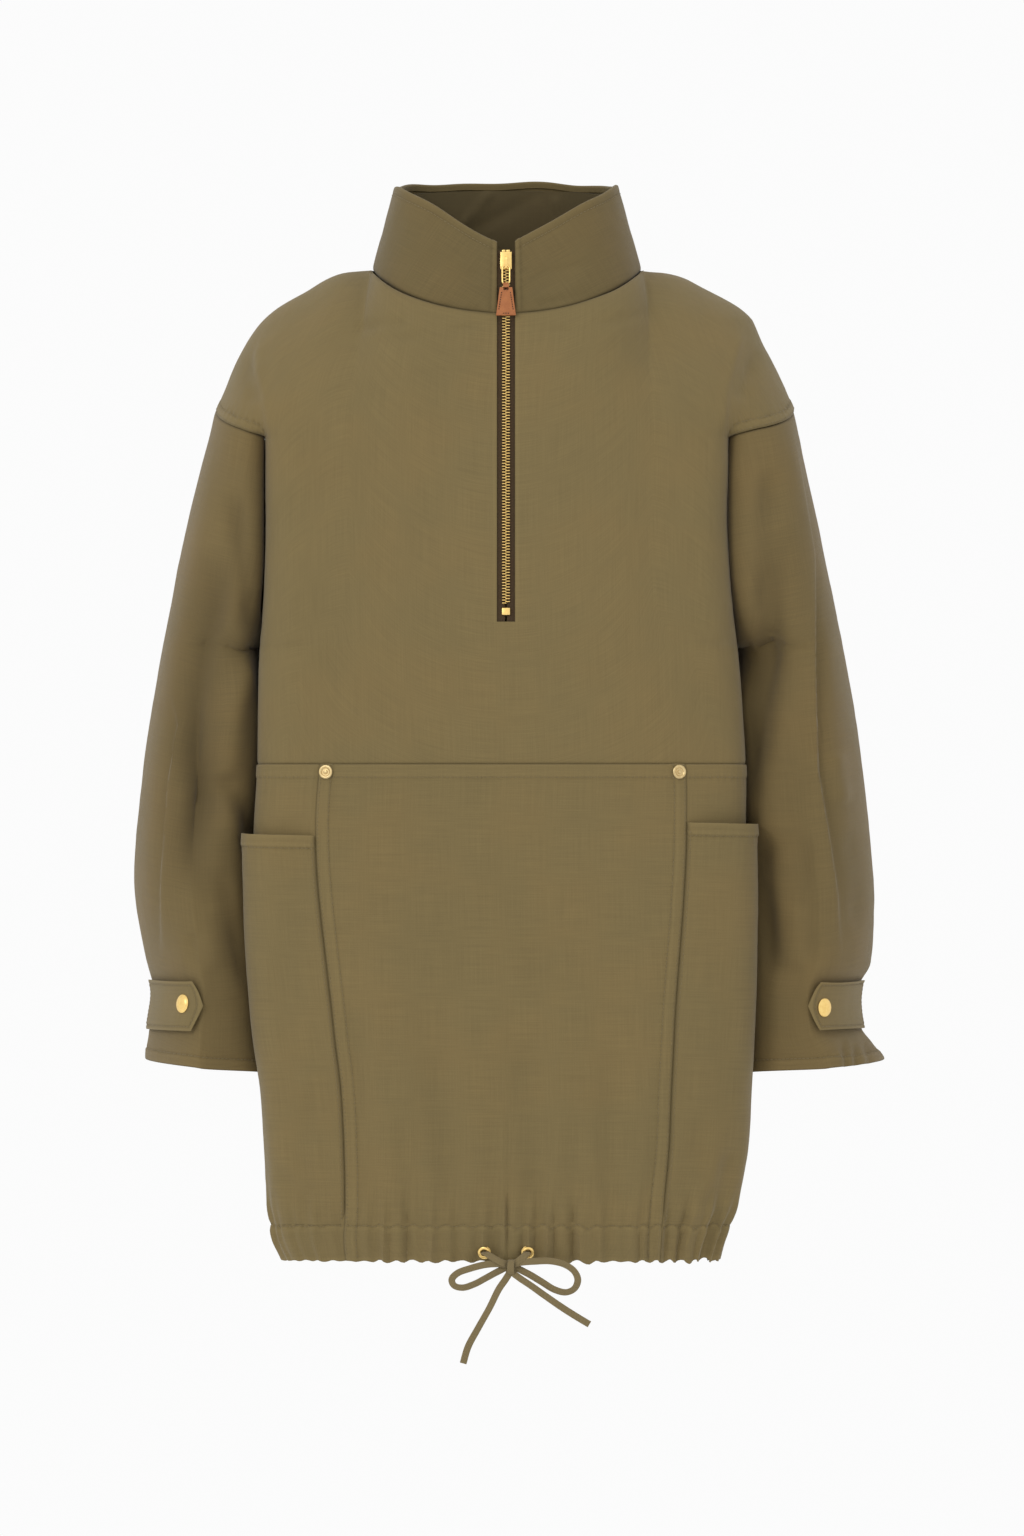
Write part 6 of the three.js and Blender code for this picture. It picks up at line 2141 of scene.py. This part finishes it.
@dataclass
class Zip:
    """The metal zip, built upright at the origin and laid into the front."""

    pitch: float = 2.3
    tooth_reach: float = 3.1
    tooth_tip: float = 0.35
    top: float = -2.6
    foot: float = -283.8
    slider_top: float = -2.3
    slider_front: float = -1.8
    pull_y: float = -2.9
    pivot: float = -13.3
    tab_pivot: float = -28.3

    @property
    def seat(self) -> Matrix:
        """Lays a piece made upright into the leaning front."""
        lean = Matrix.Rotation(-math.atan(FORM.zip_lean), 4, "X")
        return Matrix.Translation(Vector((0, FORM.zip_top_y, FORM.zip_top_z)) * MM) @ lean

    def laid(self, points: Array) -> Array:
        """Points of the upright zip laid into the front, in millimetres."""
        lean = math.hypot(1, FORM.zip_lean)
        c, s = 1 / lean, FORM.zip_lean / lean
        y, z = points[..., 1], points[..., 2]
        return triple(points[..., 0], FORM.zip_top_y + c * y + s * z,
                      FORM.zip_top_z - s * y + c * z)

    def tape(self, side: Side) -> Panel:
        """The woven tape with its thick inner edge."""
        x = np.r_[0.8, 1.2, 1.7, 2.2, 2.7, np.linspace(3.2, 14.6, 20), 14.9]
        z = np.linspace(-0.6, -297, 320)
        grid_x, grid_z = np.meshgrid(x if side is Side.RIGHT else -x[::-1], z)
        bead = 0.9 * np.exp(-((np.abs(grid_x) - 1.7) / 1.2) ** 2)
        ripple = 0.12 * np.sin(grid_z / 5.1 + side.sign) * np.clip((np.abs(grid_x) - 3) / 4, 0, 1)
        points = self.laid(triple(grid_x, 1.75 - bead * 0.3 + ripple, grid_z))
        return Panel(f"zip_tape_cloth_{side.word}", points, lambda p: p + np.array([0, 60.0, 0]))

    def facing(self, side: Side) -> Panel:
        """The inner strip of cloth behind a tape."""
        x = np.linspace(7.5, 18, 9)
        z = np.linspace(-1.2, -298, 120)
        grid_x, grid_z = np.meshgrid(x if side is Side.RIGHT else -x[::-1], z)
        points = self.laid(triple(grid_x, 2.75 + 0 * grid_x, grid_z))
        return Panel(f"zip_backing_{side.word}", points, lambda p: p + np.array([0, 60.0, 0]))

    def tooth(self, finish: bpy.types.Material) -> bpy.types.Object:
        """One tooth of the +X row: a block with a rounded nose and a waist."""
        half = 0.36
        nose = Bench.block("tooth_nose", (-self.tooth_tip, -0.55, -half), (1.0, 1.3, half), finish,
                           0.2, 2)
        arm = Bench.block("tooth_arm", (0.7, -0.75, -half), (self.tooth_reach, 1.35, half),
                          finish, 0.16, 1)
        return Bench.join("tooth", [nose, arm])

    def chain(self, side: Side, finish: bpy.types.Material) -> bpy.types.Object:
        """A row of teeth from one tooth, each copy shifted by the pitch."""
        tooth = self.tooth(finish)
        if side is Side.LEFT:
            Bench.place(tooth, Matrix.Diagonal((-1, 1, 1, 1)))
        offset = 0 if side is Side.RIGHT else self.pitch / 2
        count = int((self.top - self.foot - offset - 1) / self.pitch)
        tooth.name = tooth.data.name = f"zip_teeth_{side.word}"
        repeat = tooth.modifiers.new("row", "ARRAY")
        repeat.count, repeat.use_relative_offset, repeat.use_constant_offset = count, False, True
        repeat.constant_offset_displace = (0, 0, -self.pitch * MM)
        Bench.apply(tooth)
        Bench.place(tooth, Matrix.Translation((0, 0, (self.top - offset - 0.6) * MM)))
        Bench.smooth(tooth, 40)
        return Bench.place(tooth, self.seat)

    def slider(self, finish: bpy.types.Material) -> bpy.types.Object:
        """The slider's two plates, neck, flanges and crown."""
        top, foot = self.slider_top, self.slider_top - 14
        front = Bench.block("front", (-4.6, self.slider_front, foot),
                            (4.6, self.slider_front + 1.1, top),
                            finish)
        Bench.edit(front)
        mesh = bmesh.from_edit_mesh(front.data)
        for face in mesh.faces:
            face.select = face.normal.z < -0.9
        bmesh.update_edit_mesh(front.data)
        bpy.ops.transform.resize(value=(0.84, 1, 1), center_override=(0, 0, foot * MM))
        bpy.ops.mesh.select_all(action="SELECT")
        bpy.ops.mesh.bevel(offset=0.42 * MM, segments=3, affect="EDGES")
        Bench.done(front)
        back = Bench.block("back", (-4.4, 2.75, foot), (4.4, 3.7, top), finish, 0.3, 2)
        neck = Bench.block("neck", (-1.1, self.slider_front + 0.6, top - 5.2),
                           (1.1, 3.2, top - 0.3),
                           finish, 0.3, 2)
        flanges = [Bench.block("flange",
                               (min(s * 3.7, s * 4.5), self.slider_front + 0.5, foot + 0.4),
                               (max(s * 3.7, s * 4.5), 0.35, top - 3.0), finish, 0.2,
                               2) for s in (-1, 1)]
        Bench.clear()
        start = (0, (self.slider_front + 0.1) * MM, (top - 4.1) * MM)
        bpy.ops.mesh.primitive_plane_add(size=MM, location=start, rotation=(math.pi / 2, 0, 0))
        crown = Bench.named("crown", finish)
        Bench.place(crown, Matrix.Identity(4))
        Bench.edit(crown)
        bpy.ops.mesh.select_all(action="SELECT")
        bpy.ops.transform.resize(value=(2.0, 1, 1.0), center_override=start)
        middle = (0, (self.slider_front + 0.1) * MM, (top - 8.8) * MM)
        bpy.ops.mesh.spin(steps=16, angle=math.pi, center=middle, axis=(1, 0, 0))
        bpy.ops.mesh.select_all(action="SELECT")
        bpy.ops.mesh.normals_make_consistent(inside=False)
        bpy.ops.transform.resize(value=(1, 0.62, 1), center_override=middle)
        Bench.done(crown)
        lowest = min(v.co.y for v in crown.data.vertices)
        if lowest > (self.slider_front - 1.5) * MM:
            Bench.place(crown, Matrix.Translation(Vector(middle))
                        @ Matrix.Diagonal((1, -1, 1, 1)) @ Matrix.Translation(-Vector(middle)))
        Bench.smooth(crown, 50)
        whole = Bench.join("zip_slider_body", [front, back, neck, *flanges, crown])
        Bench.smooth(whole, 40)
        return Bench.place(whole, self.seat)

    def pull(self, finish: bpy.types.Material) -> bpy.types.Object:
        """The long wire link between the slider and the leather tab."""
        loop = Bench.ring("zip_link", 2.9, (0.7, 0.7), 0.0, finish, 40)
        Bench.edit(loop)
        mesh = bmesh.from_edit_mesh(loop.data)
        for vertex in mesh.verts:
            vertex.select = vertex.co.y < -0.0001
        mesh.select_flush_mode()
        bpy.ops.transform.translate(value=(0, -(15 - 5.8) * MM, 0))
        Bench.done(loop)
        turn = Matrix(((1, 0, 0, 0), (0, 0, 1, 0), (0, 1, 0, 0), (0, 0, 0, 1)))
        Bench.place(loop, Matrix.Translation((0, self.pull_y * MM, (self.pivot - 2.9) * MM)) @ turn)
        return Bench.place(loop, self.seat)

    def leather(self, wardrobe: Wardrobe) -> tuple[bpy.types.Object, bpy.types.Object]:
        """The leather tab, folded round the link, and the stitches along its edge."""
        y, top, foot = self.pull_y, self.tab_pivot - 2.6, self.tab_pivot + 2.2 - 27
        body = Bench.block("zip_leather_tab", (-4.9, y - 1.35, foot), (4.9, y + 1.35, top),
                           wardrobe.leather)
        mesh = Bench.edit(body)
        for face in mesh.faces:
            face.select = face.normal.z < -0.9
        bmesh.update_edit_mesh(body.data)
        bpy.ops.transform.resize(value=(1.58, 1, 1), center_override=(0, y * MM, foot * MM))
        bpy.ops.mesh.select_all(action="DESELECT")
        mesh = bmesh.from_edit_mesh(body.data)
        mesh.edges.ensure_lookup_table()
        for edge in mesh.edges:
            one, two = edge.verts
            edge.select = abs(one.co.x - two.co.x) < 1e-6 and abs(one.co.z - two.co.z) < 1e-6
        mesh.select_flush_mode()
        bmesh.update_edit_mesh(body.data)
        bpy.ops.mesh.bevel(offset=2.6 * MM, segments=6, affect="EDGES")
        Bench.done(body)
        soften = body.modifiers.new("soften", "BEVEL")
        soften.width, soften.segments, soften.limit_method = 0.55 * MM, 3, "ANGLE"
        soften.angle_limit = math.radians(50)
        Bench.apply(body)
        legs = [Bench.block("leg", (-2.3, y + s * 1.0 - 0.35, top - 2.2),
                            (2.3, y + s * 1.0 + 0.35, self.tab_pivot),
                            wardrobe.leather, 0.2, 2) for s in (-1, 1)]
        Bench.clear()
        start = (0, (y - 1.0) * MM, self.tab_pivot * MM)
        bpy.ops.mesh.primitive_plane_add(size=MM, location=start, rotation=(0, 0, 0))
        bend = Bench.named("bend", wardrobe.leather)
        Bench.place(bend, Matrix.Identity(4))
        Bench.edit(bend)
        bpy.ops.mesh.select_all(action="SELECT")
        bpy.ops.transform.resize(value=(4.6, 0.7, 1), center_override=start)
        middle = (0, y * MM, self.tab_pivot * MM)
        bpy.ops.mesh.spin(steps=12, angle=math.pi, center=middle, axis=(1, 0, 0))
        bpy.ops.mesh.select_all(action="SELECT")
        bpy.ops.mesh.normals_make_consistent(inside=False)
        Bench.done(bend)
        if max(v.co.z for v in bend.data.vertices) < (self.tab_pivot + 0.5) * MM:
            Bench.place(bend, Matrix.Translation(Vector(middle))
                        @ Matrix.Diagonal((1, 1, -1, 1)) @ Matrix.Translation(-Vector(middle)))
        whole = Bench.join("zip_leather_tab", [body, *legs, bend])
        Bench.smooth(whole, 45)
        self._edge_wear(whole, y)
        stitches = Stitching("zip_tab_stitches")
        for front in (-1, 1):
            inset = 1.45
            high, low = 4.9 - inset, 4.9 * 1.58 - inset
            corners = [(-high + 0.3, top - 2.0), (-low + 0.4, foot + 2.6),
                       (-low + 2.0, foot + 1.45),
                       (low - 2.0, foot + 1.45), (low - 0.4, foot + 2.6), (high - 0.3, top - 2.0),
                       (-high + 0.3, top - 2.0)]
            for (x0, z0), (x1, z1) in zip(corners, corners[1:]):
                share = np.linspace(0, 1, 30)
                line = triple(x0 + (x1 - x0) * share, y + front * 1.38, z0 + (z1 - z0) * share)
                facing = np.tile([0.0, float(front), 0.0], (30, 1))
                turned = self.laid(line)
                normal = unit(self.laid(line + facing) - turned)
                stitches.run(turned, normal, 1.3, 1.85)
        thread = stitches.make(wardrobe.dark_thread, 0.72)
        return Bench.place(whole, self.seat), thread

    @staticmethod
    def _edge_wear(piece: bpy.types.Object, y: float) -> None:
        """Stores how near each point lies to the tab's outline."""
        stored = piece.data.attributes.new("wear", "FLOAT", "POINT")
        for vertex, value in zip(piece.data.vertices, stored.data):
            value.value = min(1.0, max(0.0, 1.0 - (1.35 - abs(vertex.co.y / MM - y)) * 0.2)) * (
                1.0 if abs(vertex.co.y / MM - y) < 1.2 else 0.15)

    def build(self, wardrobe: Wardrobe) -> None:
        """Makes and dresses the zip."""
        for side in Side:
            word = side.word
            tape = report(self.tape(side).make(wardrobe.tape, 0.75), "shell", "brown_tape",
                          f"zip_tape_{word}")
            backing = report(self.facing(side).make(wardrobe.inside, 0.9), "shell",
                             "olive_inner_cloth",
                             f"zip_facing_{word}")
            report(self.chain(side, wardrobe.gold), "shell", "gold_metal", f"zip_chain_{word}")
            low = (0.4, -0.8, -2.2) if side is Side.RIGHT else (-3.1, -0.8, -2.2)
            high = (3.1, 1.35, -0.5) if side is Side.RIGHT else (-0.4, 1.35, -0.5)
            stop = Bench.block(f"zip_stop_{word}", low, high, wardrobe.gold, 0.35, 3)
            report(Bench.place(stop, self.seat), "shell", "gold_metal", f"zip_top_stop_{word}")
        stop = Bench.block("zip_end_stop", (-3.2, -1.0, -289.8), (3.2, 1.35, -284.2),
                           wardrobe.gold, 0.45, 3)
        Bench.smooth(stop, 40)
        report(Bench.place(stop, self.seat), "shell", "gold_metal", "zip_bottom_stop")
        report(self.slider(wardrobe.gold), "zip_slider", "gold_metal", "zip_slider")
        report(self.pull(wardrobe.gold), "zip_pull", "gold_metal", "zip_pull")
        tab, thread = self.leather(wardrobe)
        report(tab, "pull_tab", "tan_leather", "pull_tab")
        report(thread, "pull_tab", "tan_leather")


# ---- Rivets and eyelets -------------------------------------------------------------------


@dataclass
class Trim:
    """Rivets at the pocket corners and eyelets at the hem."""

    rivet: tuple[float, float] = (138.0, -398.0)
    eyelet: tuple[float, float] = (17.0, -773.0)

    def rivet_cap(self, name: str, finish: bpy.types.Material) -> bpy.types.Object:
        """A ring with a sunk middle and a small nub."""
        return Bench.turned(name,
                            [(5.1, -0.1), (5.45, 0.3), (5.4, 0.8), (4.95, 1.25), (4.3, 1.4),
                             (3.7, 1.2),
                                   (3.2, 0.75), (2.9, 0.35), (2.2, 0.25), (1.7, 0.35), (1.55, 0.8),
                                   (1.25, 1.15),
                                   (0.6, 1.35), (0.05, 1.38)], finish, 48)

    def build(self, wardrobe: Wardrobe, apron: Panel) -> None:
        """Seats the trim on the apron."""
        for side in Side:
            word, sign = side.word, side.sign
            x = float(OUTLINE.moved(np.array([[sign * self.rivet[0], 0.0, self.rivet[1]]]))[0, 0])
            at, normal = apron.seat(x, self.rivet[1])
            seat = seat_matrix(at, normal)
            cap = self.rivet_cap(f"rivet_ring_{word}", wardrobe.pale)
            report(Bench.place(cap, seat), "shell", "pale_gold_metal", f"rivet_cap_{word}")
            burr = Bench.turned(f"rivet_back_{word}",
                                [(4.2, -3.0), (4.2, -2.3), (1.6, -2.0), (1.5, -1.6), (0.1, -1.5)],
                                wardrobe.pale, 32)
            report(Bench.place(burr, seat), "shell", "pale_gold_metal", f"rivet_burr_{word}")
            at, normal = apron.seat(sign * self.eyelet[0], self.eyelet[1])
            seat = seat_matrix(at, normal)
            flange = Bench.ring(f"eyelet_ring_{word}", 3.75, (1.25, 0.62), 0.45, wardrobe.gold, 44)
            report(Bench.place(flange, seat), "shell", "gold_metal", f"eyelet_{word}")
            washer = Bench.ring(f"eyelet_back_{word}", 4.2, (0.7, 0.3), -1.9, wardrobe.gold, 32)
            report(Bench.place(washer, seat), "shell", "gold_metal", f"eyelet_washer_{word}")


def main() -> None:
    """Builds the jacket piece by piece."""
    logging.basicConfig(level=logging.INFO, format="%(message)s")
    studio = Studio()
    studio.camera()
    wardrobe = Wardrobe()
    cord = Drawcord()
    cord.build(wardrobe)
    Bodice().build(wardrobe)
    apron, _ = Skirt().build(wardrobe, cord)
    Collar().build(wardrobe)
    for side in Side:
        Sleeve(side).build(wardrobe)
    Zip().build(wardrobe)
    Trim().build(wardrobe, apron)
    studio.paper()
    studio.light()


if __name__ == "__main__":
    main()
